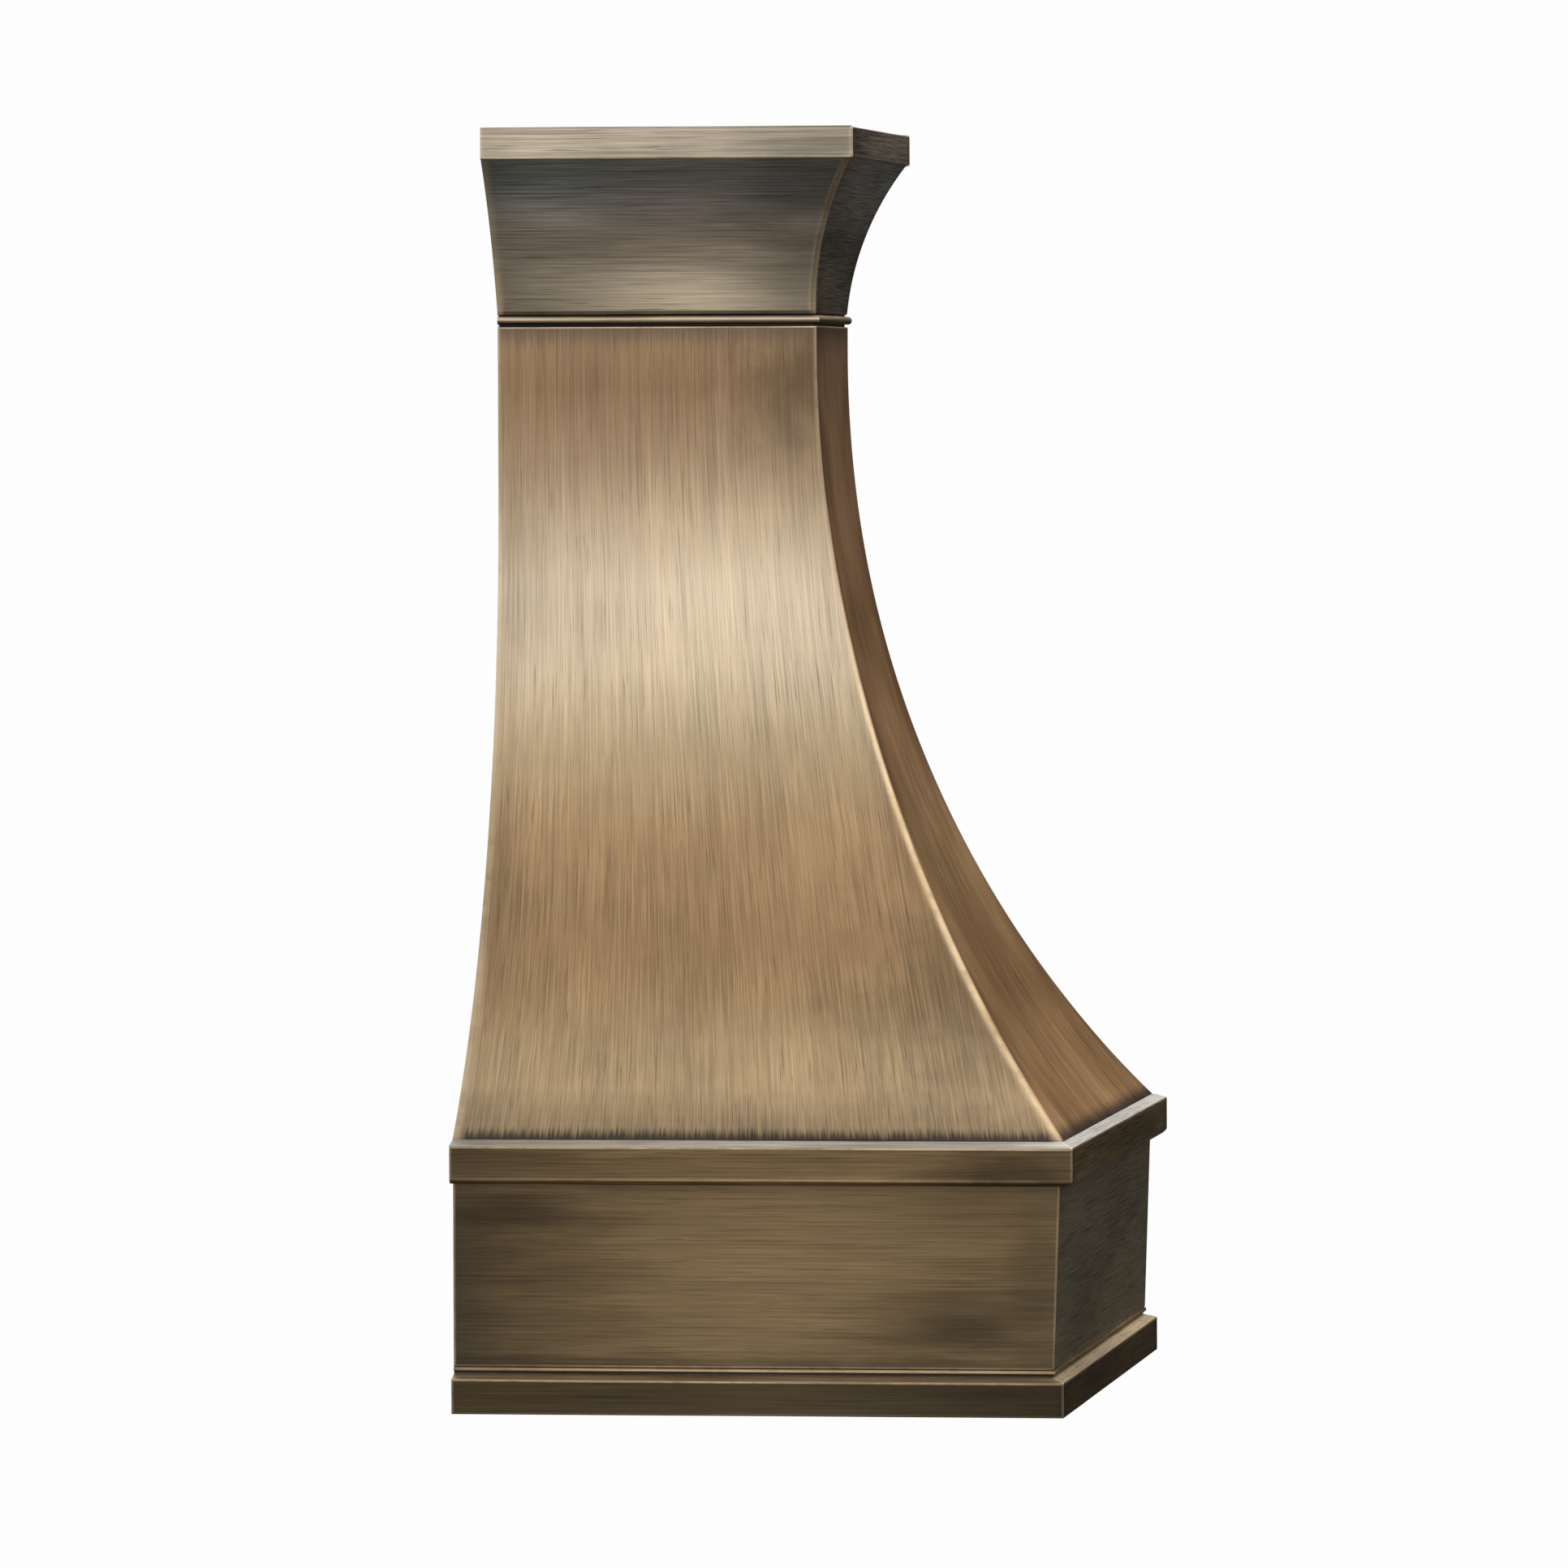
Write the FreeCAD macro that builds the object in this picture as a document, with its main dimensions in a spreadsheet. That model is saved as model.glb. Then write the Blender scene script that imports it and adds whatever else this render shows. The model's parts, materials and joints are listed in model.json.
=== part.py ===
"""Wall range hood with a swept brass shell.

The shell is three-sided and hangs on the wall: crown, neck bead, swept body, ledge, skirt and base
trim, each folded from sheet as a front piece and two side pieces.  Inside it are a steel frame, a
liner with two hinged baffle filters, lamps, two turning controls, a double inlet blower and a
two-flap damper in the duct collar.

Frame: X is the width, the wall is the plane Y = 0 with the room at -Y, and Z is up from the floor of
the base trim.  All sizes are in millimetres.
"""
import FreeCAD, Part
import math
import os
import re
import Sketcher

SIZES = {
    # shell
    "gauge": 1.5,
    "crown_width": 466, "crown_depth": 371, "crown_top": 1255, "fascia_foot": 1226,
    "crown_lip": 2, "crown_return": 15, "cove_foot": 1073,
    "front_cove_radius": 303, "side_cove_radius": 497,
    "bead_reach": 3, "bead_foot": 1065, "bead_height": 6, "bead_round": 2.4, "bead_web": 2.5,
    "neck_width": 250, "neck_depth": 320.5, "body_top": 1060,
    "front_bend": 1036, "side_bend": 890,
    "foot_width": 870, "foot_depth": 598, "foot_level": 267,
    "ledge_width": 914, "ledge_depth": 610, "ledge_top": 262, "ledge_foot": 225,
    "ledge_hem": 4, "ledge_lap": 24, "ledge_return": 20,
    "skirt_width": 866, "skirt_depth": 595, "skirt_foot_depth": 589, "skirt_foot": 45,
    "base_bead_foot": 41, "base_bead_reach": 1.6, "base_bead_round": 1.6,
    "trim_width": 898, "trim_depth": 600, "trim_height": 34, "trim_return": 12, "trim_lap": 25,
    "trim_rise": 5,
    # steel frame
    "frame_width": 859, "frame_depth": 585.5, "angle_leg": 26, "angle_rise": 30, "angle_gauge": 2,
    "back_gauge": 1.2, "back_gap": 1, "back_foot": 66, "back_top": 1250,
    "rail_length": 470, "rail_height": 30, "rail_thick": 6, "rail_low": 325, "rail_pitch": 130,
    "stud_pitch": 406.4, "stud_radius": 4.2,
    "tie_leg": 20, "tie_gauge": 2, "tie_height": 80, "tie_low": 100, "tie_high": 940,
    # liner
    "face_width": 850, "face_depth": 578, "face_back": 8, "face_gauge": 1.5,
    "bay_back": 70, "bay_front": 400, "bay_inner": 8, "bay_outer": 380,
    "plenum_width": 790, "plenum_front": 555, "plenum_back": 20, "plenum_top": 560,
    "plenum_neck": 370, "plenum_neck_front": 400, "plenum_gauge": 1.2,
    "screw_radius": 2, "screw_head": 4, "screw_head_height": 2.4, "screw_length": 7,
    "screw_side": 412, "screw_front": 568, "screw_gap": 0.1,
    # filters
    "filter_gap": 3, "filter_lift": 0.5, "filter_thick": 12, "filter_rail": 14,
    "baffle_pitch": 41.5, "baffle_width": 30, "baffle_height": 4, "baffle_gauge": 0.8,
    "pin_radius": 3, "pin_length": 9, "pin_inset": 5, "pin_room": 0.06,
    "clip_width": 5, "clip_depth": 12,
    "bail_span": 60, "bail_drop": 36, "bail_wire": 1.75, "bail_room": 0.05, "bail_inset": 12,
    "lug_size": 5, "lug_gap": 6,
    # lamps and controls
    "lamp_side": 270, "strip_centre": 490, "lamp_radius": 29, "lamp_flange": 35, "lens_radius": 26,
    "lamp_height": 18, "knob_side": 60, "knob_radius": 17, "knob_height": 19, "knob_round": 3,
    "knob_gap": 2, "grip_count": 12, "grip_radius": 2.2,
    "stem_radius": 3, "stem_room": 0.05, "stem_bury": 12, "pot_radius": 12, "pot_height": 15,
    # blower
    "wheel_radius": 90, "wheel_inner": 78, "wheel_width": 140, "wheel_ring": 3, "blade_count": 32,
    "blade_gauge": 1, "disc_gauge": 1.5, "hub_radius": 14, "hub_length": 18,
    "axis_depth": 215, "axis_level": 395, "shaft_radius": 4, "shaft_room": 0.05,
    "can_radius": 42, "can_front": 8, "can_back": 84, "shaft_end": 60,
    "scroll_width": 160, "scroll_gauge": 1.2, "throat_back": 80, "throat_bend": 400,
    "scroll_r1": 135, "scroll_r2": 125, "scroll_r3": 115, "throat_front": 250, "throat_top": 558,
    "inlet_radius": 79.5, "inlet_bore": 76, "inlet_out": 84, "inlet_in": 72,
    "spider_gauge": 2, "spider_hub": 30, "spider_reach": 100, "spider_arm": 12,
    # damper
    "collar_radius": 100.8, "collar_gauge": 0.8, "collar_top": 700, "collar_flange": 120,
    "duct_centre": 165, "flap_level": 622, "flap_radius": 97, "flap_gauge": 1, "flap_gap": 5.8,
    "rod_radius": 3, "rod_room": 0.05, "knuckle_radius": 5, "knuckle_length": 28, "knuckle_pitch": 30,
    # supply box
    "box_left": 320, "box_width": 46, "box_depth": 60, "box_low": 240, "box_height": 76,
    "box_gauge": 1.5, "bushing_radius": 11, "bushing_bore": 8, "bushing_length": 12,
}
SIDES = {"left": "-1", "right": "1"}
PLANES = {"XY": "XY_Plane", "XZ": "XZ_Plane", "YZ": "YZ_Plane"}
X_AXIS = FreeCAD.Vector(1, 0, 0)
Y_AXIS = FreeCAD.Vector(0, 1, 0)
Z_AXIS = FreeCAD.Vector(0, 0, 1)

doc = FreeCAD.newDocument("RangeHood")
sheet = doc.addObject("Spreadsheet::Sheet", "Sizes")
nodes = {}


def fill_sheet():
    for row, (alias, value) in enumerate(SIZES.items(), 1):
        sheet.set("A%d" % row, alias)
        sheet.set("B%d" % row, str(value))
        sheet.setAlias("B%d" % row, alias)
    doc.recompute()


def bound(text):
    """Turn @alias into a reference to the sheet."""
    return re.sub(r"@(\w+)", r"Sizes.\1", str(text))


def value(text):
    return float(sheet.evalExpression(bound(text)))


def drive(obj, path, text):
    obj.setExpression(path, bound(text))


def node(name, obj):
    obj.Label = name
    nodes[name] = obj
    return obj


# ---------------------------------------------------------------- sketches and sketch features

def new_body(name):
    return node(name, doc.addObject("PartDesign::Body", name))


def new_sketch(body, name, plane):
    sketch = body.newObject("Sketcher::SketchObject", name)
    origin = [f for f in body.Origin.OriginFeatures if f.Role == PLANES[plane]][0]
    sketch.AttachmentSupport = (origin, [""])
    sketch.MapMode = "FlatFace"
    return sketch


def arc_between(start, end, radius, side):
    """The short arc from start to end with its centre on the given side of the chord."""
    chord = end - start
    middle = (start + end) * 0.5
    across = FreeCAD.Vector(-chord.y, chord.x, 0).normalize()
    rise = max(radius ** 2 - (chord.Length / 2) ** 2, 0) ** 0.5
    centre = middle + across * (rise * side)
    begin, finish = (start, end) if side > 0 else (end, start)
    first = math.atan2(begin.y - centre.y, begin.x - centre.x)
    last = math.atan2(finish.y - centre.y, finish.x - centre.x)
    return Part.ArcOfCircle(Part.Circle(centre, Z_AXIS, radius), first, last)


def outline(sketch, corners):
    """Draw a closed outline.

    A corner is (x, y), or (x, y, radius, side) when the stretch that leads to it is an arc whose
    centre lies left (1) or right (-1) of the way travelled.
    """
    spots = [FreeCAD.Vector(value(c[0]), value(c[1]), 0) for c in corners]
    first = sketch.GeometryCount
    pieces, starts = [], []
    for i, corner in enumerate(corners):
        start, end = spots[i - 1], spots[i]
        if len(corner) == 2:
            pieces.append(Part.LineSegment(start, end))
            starts.append((1, 2))
        else:
            pieces.append(arc_between(start, end, value(corner[2]), corner[3]))
            starts.append((1, 2) if corner[3] > 0 else (2, 1))
    sketch.addGeometry(pieces, False)
    count = len(corners)
    rules, texts = [], []
    for i, corner in enumerate(corners):
        after = (i + 1) % count
        here = first + i
        rules.append(Sketcher.Constraint("Coincident", here, starts[i][1], first + after, starts[after][0]))
        texts.append(None)
        rules.append(Sketcher.Constraint("DistanceX", -1, 1, here, starts[i][1], spots[i].x))
        texts.append(corner[0])
        rules.append(Sketcher.Constraint("DistanceY", -1, 1, here, starts[i][1], spots[i].y))
        texts.append(corner[1])
        if len(corner) > 2:
            rules.append(Sketcher.Constraint("Radius", here, value(corner[2])))
            texts.append(corner[2])
    bind_rules(sketch, rules, texts)


def circle(sketch, x, y, radius):
    centre = FreeCAD.Vector(value(x), value(y), 0)
    here = sketch.addGeometry(Part.Circle(centre, Z_AXIS, value(radius)), False)
    rules = [Sketcher.Constraint("DistanceX", -1, 1, here, 3, centre.x),
             Sketcher.Constraint("DistanceY", -1, 1, here, 3, centre.y),
             Sketcher.Constraint("Radius", here, value(radius))]
    bind_rules(sketch, rules, [x, y, radius])


def bind_rules(sketch, rules, texts):
    offset = sketch.ConstraintCount
    sketch.addConstraint(rules)
    for i, text in enumerate(texts):
        if text is not None and "@" in str(text):
            drive(sketch, "Constraints[%d]" % (offset + i), text)


def rectangle(sketch, x0, y0, x1, y1):
    outline(sketch, [(x0, y0), (x1, y0), (x1, y1), (x0, y1)])


def pad(body, sketch, length, symmetric=False):
    feature = body.newObject("PartDesign::Pad", sketch.Name + "Pad")
    feature.Profile = sketch
    feature.SideType = "Symmetric" if symmetric else "One side"
    drive(feature, "Length", length)
    sketch.Visibility = False
    body.Tip = feature
    return feature


def pocket(body, sketch):
    feature = body.newObject("PartDesign::Pocket", sketch.Name + "Pocket")
    feature.Profile = sketch
    feature.Type = "ThroughAll"
    feature.SideType = "Symmetric"
    body.Tip = feature
    return feature


# ---------------------------------------------------------------- primitives and booleans

def place(obj, x, y, z):
    drive(obj, "Placement.Base.x", x)
    drive(obj, "Placement.Base.y", y)
    drive(obj, "Placement.Base.z", z)
    return obj


def box(name, low, high):
    solid = doc.addObject("Part::Box", name)
    for prop, a, b in zip(("Length", "Width", "Height"), low, high):
        drive(solid, prop, "(%s) - (%s)" % (b, a))
    return place(solid, *low)


def rod(name, radius, length, spot, axis="Z"):
    """A cylinder that starts at spot and runs along the positive axis."""
    solid = doc.addObject("Part::Cylinder", name)
    drive(solid, "Radius", radius)
    drive(solid, "Height", length)
    turn = {"X": FreeCAD.Rotation(Y_AXIS, 90), "Y": FreeCAD.Rotation(X_AXIS, -90),
            "Z": FreeCAD.Rotation()}[axis]
    solid.Placement = FreeCAD.Placement(FreeCAD.Vector(), turn)
    return place(solid, *spot)


def cut(name, base, tools):
    result = doc.addObject("Part::Cut", name)
    result.Base = base
    result.Tool = tools[0] if len(tools) == 1 else fuse(name + "Tools", tools)
    return result


def fuse(name, shapes):
    result = doc.addObject("Part::MultiFuse", name)
    result.Shapes = shapes
    return result


def group(name, shapes):
    result = doc.addObject("Part::Compound", name)
    result.Links = shapes
    return result


def tube(name, radius, bore, length, spot, axis="Z"):
    return cut(name, rod(name + "Outer", radius, length, spot, axis),
               [rod(name + "Bore", bore, length, spot, axis)])


def rounded(name, base, radius, wanted):
    """Fillet the edges of base that the test picks out."""
    doc.recompute()
    result = doc.addObject("Part::Fillet", name)
    result.Base = base
    picked = [i + 1 for i, edge in enumerate(base.Shape.Edges) if wanted(edge)]
    result.Edges = [(i, value(radius), value(radius)) for i in picked]
    return result


# ---------------------------------------------------------------- shell profiles

def sweep_radius(top, foot, rise):
    """Radius of an arc that leaves the neck straight down and reaches the foot."""
    return "((%s)^2 + (%s - %s)^2) / (2 * (%s - %s))" % (rise, foot, top, foot, top)


FRONT_RISE = "(@front_bend - @foot_level)"
SIDE_RISE = "(@side_bend - @foot_level)"
HALF_NECK = "(@neck_width / 2)"
HALF_FOOT = "(@foot_width / 2)"
FRONT_SWEEP = sweep_radius("@neck_depth", "@foot_depth", FRONT_RISE)
SIDE_SWEEP = sweep_radius(HALF_NECK, HALF_FOOT, SIDE_RISE)


def inner_foot(neck, sweep, rise, inset):
    """Where the inner face of the swept sheet meets the ledge."""
    return "(%s + %s - sqrt((%s + %s)^2 - (%s)^2))" % (neck, sweep, sweep, inset, rise)


def body_curve(neck, sweep, rise, bend, foot, inset, sign):
    """Corners down one face of the swept sheet, from the neck to the foot."""
    side = 1 if sign == "1" else -1
    x = "%s * " % sign
    return [(x + "(%s - %s)" % (neck, inset), "@body_top"),
            (x + "(%s - %s)" % (neck, inset), bend),
            (x + foot, "@foot_level", "%s + %s" % (sweep, inset), side)]


def sheet_outline(outer, inner):
    """Close an outer and an inner face, both listed from the top down, into one sheet section."""
    corners = list(outer)
    back = list(reversed(inner))
    for i, corner in enumerate(back):
        if i and len(back[i - 1]) > 2:
            corners.append((corner[0], corner[1], back[i - 1][2], -back[i - 1][3]))
        else:
            corners.append(corner[:2])
    return corners


def body_faces(front, sign):
    if front:
        neck, sweep, rise, bend, foot = "@neck_depth", FRONT_SWEEP, FRONT_RISE, "@front_bend", "@foot_depth"
    else:
        neck, sweep, rise, bend, foot = HALF_NECK, SIDE_SWEEP, SIDE_RISE, "@side_bend", HALF_FOOT
    outer = body_curve(neck, sweep, rise, bend, foot, "0", sign)
    hidden = inner_foot(neck, sweep, rise, "@gauge")
    inner = body_curve(neck, sweep, rise, bend, hidden, "@gauge", sign)
    return outer, inner


def crown_faces(front, sign):
    """Crown section: flat fascia, small lip, cove down to the neck."""
    neck = "@neck_depth" if front else HALF_NECK
    edge = "@crown_depth" if front else "(@crown_width / 2)"
    radius = "@front_cove_radius" if front else "@side_cove_radius"
    side = -1 if sign == "1" else 1
    x = "%s * " % sign
    outer = [(x + edge, "@crown_top"), (x + edge, "@fascia_foot"),
             (x + "(%s - @crown_lip)" % edge, "@fascia_foot"),
             (x + neck, "@cove_foot", radius, -side)]
    inner = [(x + "(%s - @gauge)" % edge, "@crown_top - @gauge"),
             (x + "(%s - @gauge)" % edge, "@fascia_foot + @gauge"),
             (x + "(%s - @crown_lip - @gauge)" % edge, "@fascia_foot + @gauge"),
             (x + "(%s - @gauge)" % neck, "@cove_foot", "%s + @gauge" % radius, -side)]
    return outer, inner


def crown_section(front, sign):
    """The crown sheet with its return along the top."""
    outer, inner = crown_faces(front, sign)
    edge = "@crown_depth" if front else "(@crown_width / 2)"
    inset = "%s * (%s - @crown_return)" % (sign, edge)
    corners = sheet_outline(outer, inner)
    return corners + [(inset, "@crown_top - @gauge"), (inset, "@crown_top")]


# ---------------------------------------------------------------- shell panels

def curved_set(stem, faces, section, top, foot, reach, reach_depth, notch=None):
    """Front and side panels of a curved layer; the front panel laps the ends of the side panels."""
    front = new_body(stem + "_front")
    sketch = new_sketch(front, stem + "FrontSection", "YZ")
    outline(sketch, section(True, "-1"))
    pad(front, sketch, "2 * (%s)" % reach, symmetric=True)
    waste = new_sketch(front, stem + "FrontWaste", "XZ")
    for sign in ("1", "-1"):
        edge, _ = faces(False, sign)
        far = "%s * (%s + 50)" % (sign, reach)
        corners = [(far, "%s + 50" % top), (edge[0][0], "%s + 50" % top)] + edge
        outline(waste, corners + [(edge[-1][0], "%s - 50" % foot), (far, "%s - 50" % foot)])
    pocket(front, waste)
    for side, sign in SIDES.items():
        panel = new_body("%s_%s" % (stem, side))
        sketch = new_sketch(panel, stem + side + "Section", "XZ")
        outline(sketch, section(False, sign))
        pad(panel, sketch, reach_depth)
        waste = new_sketch(panel, stem + side + "Waste", "YZ")
        _, edge = faces(True, "-1")
        far = "-1 * (%s + 50)" % reach_depth
        start = notch if notch else [(edge[0][0], "%s + 50" % top)]
        corners = [(far, "%s + 50" % top)] + start + edge
        outline(waste, corners + [(edge[-1][0], "%s - 50" % foot), (far, "%s - 50" % foot)])
        pocket(panel, waste)


def ring_set(stem, front_section, side_section, half, depth, run_x, run_y):
    """Front and side panels of a folded layer, mitred at the two front corners."""
    front = new_body(stem + "_front")
    sketch = new_sketch(front, stem + "FrontSection", "YZ")
    outline(sketch, front_section)
    pad(front, sketch, "2 * (%s)" % half, symmetric=True)
    waste = new_sketch(front, stem + "FrontWaste", "XY")
    for sign in ("1", "-1"):
        near, deep = mitre_line(sign, half, depth, run_x, run_y)
        far = "%s * (%s + 20)" % (sign, half)
        outline(waste, [near, deep, (far, deep[1]), (far, near[1])])
    pocket(front, waste)
    for side, sign in SIDES.items():
        panel = new_body("%s_%s" % (stem, side))
        sketch = new_sketch(panel, stem + side + "Section", "XZ")
        outline(sketch, side_section(sign))
        pad(panel, sketch, depth)
        waste = new_sketch(panel, stem + side + "Waste", "XY")
        near, deep = mitre_line(sign, half, depth, run_x, run_y)
        far = "-1 * (%s + 20)" % depth
        outline(waste, [near, deep, (deep[0], far), (near[0], far)])
        pocket(panel, waste)


def mitre_line(sign, half, depth, run_x, run_y):
    """Two points on the mitre: one just outside the corner and one well inside it."""
    near = ("%s * (%s + 0.2 * %s)" % (sign, half, run_x), "-1 * (%s + 0.2 * %s)" % (depth, run_y))
    deep = ("%s * (%s - 3 * %s)" % (sign, half, run_x), "-1 * (%s - 3 * %s)" % (depth, run_y))
    return near, deep


def ledge_section(edge, foot, sign):
    x = "%s * " % sign
    g = "@gauge"
    lap = "(%s - @ledge_lap)" % foot
    hem = "@ledge_hem"
    return [(x + edge, "@ledge_top"), (x + edge, "@ledge_foot + " + hem),
            (x + "(%s - %s)" % (edge, hem), "@ledge_foot"),
            (x + "(%s - @ledge_return)" % edge, "@ledge_foot"),
            (x + "(%s - @ledge_return)" % edge, "@ledge_foot + " + g),
            (x + "(%s - %s - %s / 2)" % (edge, hem, g), "@ledge_foot + " + g),
            (x + "(%s - %s)" % (edge, g), "@ledge_foot + %s + %s / 2" % (hem, g)),
            (x + "(%s - %s)" % (edge, g), "@ledge_top - %s / 2" % g),
            (x + "(%s - %s)" % (foot, g), "@foot_level - %s" % g),
            (x + lap, "@foot_level - %s" % g), (x + lap, "@foot_level"),
            (x + foot, "@foot_level")]


def skirt_section(top, foot, sign):
    x = "%s * " % sign
    return [(x + top, "@ledge_foot"), (x + foot, "@skirt_foot"),
            (x + "(%s - @gauge)" % foot, "@skirt_foot"), (x + "(%s - @gauge)" % top, "@ledge_foot")]


def trim_section(edge, frame, sign):
    """Fascia with a return below, a top that slopes up to the frame, and a lap folded under the frame."""
    x = "%s * " % sign
    g = "@gauge"
    return [(x + edge, "@trim_height"), (x + edge, "0"), (x + "(%s - @trim_return)" % edge, "0"),
            (x + "(%s - @trim_return)" % edge, g), (x + "(%s - %s)" % (edge, g), g),
            (x + "(%s - %s)" % (edge, g), "@trim_height - " + g),
            (x + "(%s + %s)" % (frame, g), "@trim_height + @trim_rise - " + g),
            (x + "(%s + %s)" % (frame, g), "@trim_height - " + g),
            (x + "(%s - @trim_lap)" % edge, "@trim_height - " + g),
            (x + "(%s - @trim_lap)" % edge, "@trim_height"),
            (x + frame, "@trim_height"), (x + frame, "@trim_height + @trim_rise")]


def horseshoe(sketch, half, depth, inner_half, inner_depth):
    """Plan of a strip bent round the two sides and the front."""
    outline(sketch, [("-1 * (%s)" % half, "0"), ("-1 * (%s)" % half, "-1 * (%s)" % depth),
                     (half, "-1 * (%s)" % depth), (half, "0"), (inner_half, "0"),
                     (inner_half, "-1 * (%s)" % inner_depth),
                     ("-1 * (%s)" % inner_half, "-1 * (%s)" % inner_depth),
                     ("-1 * (%s)" % inner_half, "0")])


def raised(sketch, level):
    """Lift a plan sketch to its level."""
    drive(sketch, "AttachmentOffset.Base.z", level)


def long_outer_edges(shape, half, depth, levels):
    names = []
    for i, edge in enumerate(shape.Edges):
        middle = edge.CenterOfMass
        outer = abs(abs(middle.x) - half) < 0.01 or abs(middle.y + depth) < 0.01
        level = any(abs(middle.z - z) < 0.01 for z in levels)
        if outer and level:
            names.append("Edge%d" % (i + 1))
    return names


def round_strip(body, half, depth, levels, radius):
    doc.recompute()
    base = body.Tip
    names = long_outer_edges(base.Shape, value(half), value(depth), [value(z) for z in levels])
    fillet = body.newObject("PartDesign::Fillet", body.Name + "Round")
    fillet.Base = (base, names)
    drive(fillet, "Radius", radius)
    body.Tip = fillet


def neck_bead():
    body = new_body("neck_bead")
    half, depth = "(@neck_width / 2 + @bead_reach)", "(@neck_depth + @bead_reach)"
    plan = new_sketch(body, "NeckBeadPlan", "XY")
    horseshoe(plan, half, depth, "(%s - @bead_web)" % HALF_NECK, "(@neck_depth - @bead_web)")
    raised(plan, "@bead_foot")
    pad(body, plan, "@bead_height")
    web = new_sketch(body, "NeckWebPlan", "XY")
    horseshoe(web, "(%s - @gauge)" % HALF_NECK, "(@neck_depth - @gauge)",
              "(%s - @bead_web)" % HALF_NECK, "(@neck_depth - @bead_web)")
    raised(web, "@body_top")
    pad(body, web, "@cove_foot - @body_top")
    round_strip(body, half, depth, ["@bead_foot", "@bead_foot + @bead_height"], "@bead_round")


def base_bead():
    body = new_body("base_bead")
    half = "(@skirt_width / 2 + @base_bead_reach)"
    depth = "(@skirt_foot_depth + @base_bead_reach)"
    plan = new_sketch(body, "BaseBeadPlan", "XY")
    horseshoe(plan, half, depth, "(@frame_width / 2)", "@frame_depth")
    raised(plan, "@base_bead_foot")
    pad(body, plan, "@skirt_foot - @base_bead_foot")
    round_strip(body, half, depth, ["@base_bead_foot", "@skirt_foot"], "@base_bead_round")


def shell():
    notch = [("-1 * (@crown_depth - @crown_return)", "@crown_top + 50"),
             ("-1 * (@crown_depth - @crown_return)", "@crown_top - @gauge")]
    curved_set("crown", crown_faces, crown_section, "@crown_top", "@cove_foot",
               "(@crown_width / 2)", "@crown_depth", notch)
    neck_bead()
    curved_set("body", body_faces, lambda front, sign: sheet_outline(*body_faces(front, sign)),
               "@body_top", "@foot_level", HALF_FOOT, "@foot_depth")
    half = "(@ledge_width / 2)"
    ring_set("ledge", ledge_section("@ledge_depth", "@foot_depth", "-1"),
             lambda sign: ledge_section(half, HALF_FOOT, sign), half, "@ledge_depth",
             "(@ledge_width / 2 - @foot_width / 2)", "(@ledge_depth - @foot_depth)")
    half = "(@skirt_width / 2)"
    ring_set("skirt", skirt_section("@skirt_depth", "@skirt_foot_depth", "-1"),
             lambda sign: skirt_section(half, half, sign), half, "@skirt_depth", "5", "6")
    base_bead()
    half = "(@trim_width / 2)"
    ring_set("trim", trim_section("@trim_depth", "@frame_depth", "-1"),
             lambda sign: trim_section(half, "(@frame_width / 2)", sign), half, "@trim_depth",
             "(@trim_width / 2 - @frame_width / 2)", "(@trim_depth - @frame_depth)")


# ---------------------------------------------------------------- steel frame

def base_frame():
    """Rolled angle on three sides, closed at the wall by a flange that stands on the floor of the trim."""
    half, depth = "(@frame_width / 2)", "@frame_depth"
    g = "@angle_gauge"
    top = "@trim_height + @angle_rise"
    block = box("FrameBlock", ("-1 * " + half, "-1 * " + depth, "@trim_height"), (half, "0", top))
    flange_half = "(@trim_width / 2 - @trim_lap)"
    flange = box("FrameFlange", ("-1 * " + flange_half, "-1 * " + g, "0"), (flange_half, "0", top))
    cavity = box("FrameCavity", ("-1 * (%s - %s)" % (half, g), "-1 * (%s - %s)" % (depth, g),
                                 "@trim_height + " + g), ("%s - %s" % (half, g), "-1 * " + g, top + " + 1"))
    opening = box("FrameOpening", ("-1 * (%s - @angle_leg)" % half, "-1 * (%s - @angle_leg)" % depth,
                                   "@trim_height - 1"),
                  ("%s - @angle_leg" % half, "-1 * @bay_back / 3", top))
    wall = cut("FrameWall", fuse("FrameSheet", [block, flange]), [cavity, opening])
    node("base_frame", cut("base_frame", wall, screw_shanks("Frame", "@screw_radius + @screw_gap")))


def screw_spots():
    side, front = "@screw_side", "@screw_front"
    spots = [("%s * @screw_side" % s, "-1 * @screw_front * %s" % part) for s in ("-1", "1")
             for part in ("0.35", "0.7")]
    spots += [("%s * %s" % (part, side), "-1 * " + front) for part in ("-0.8", "-0.3", "0.3", "0.8")]
    return spots


def screw_shanks(stem, radius):
    return [rod("%sShank%d" % (stem, i), radius, "@screw_length + 2", (x, y, "@trim_height - 1"))
            for i, (x, y) in enumerate(screw_spots())]


def liner_screws():
    screws = []
    for i, (x, y) in enumerate(screw_spots()):
        head = rod("ScrewHead%d" % i, "@screw_head", "@screw_head_height",
                   (x, y, "@trim_height - @screw_head_height"))
        shank = rod("ScrewShank%d" % i, "@screw_radius", "@screw_length", (x, y, "@trim_height"))
        screws.append(fuse("LinerScrew%d" % i, [head, shank]))
    node("liner_screws", group("liner_screws", screws))


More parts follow.
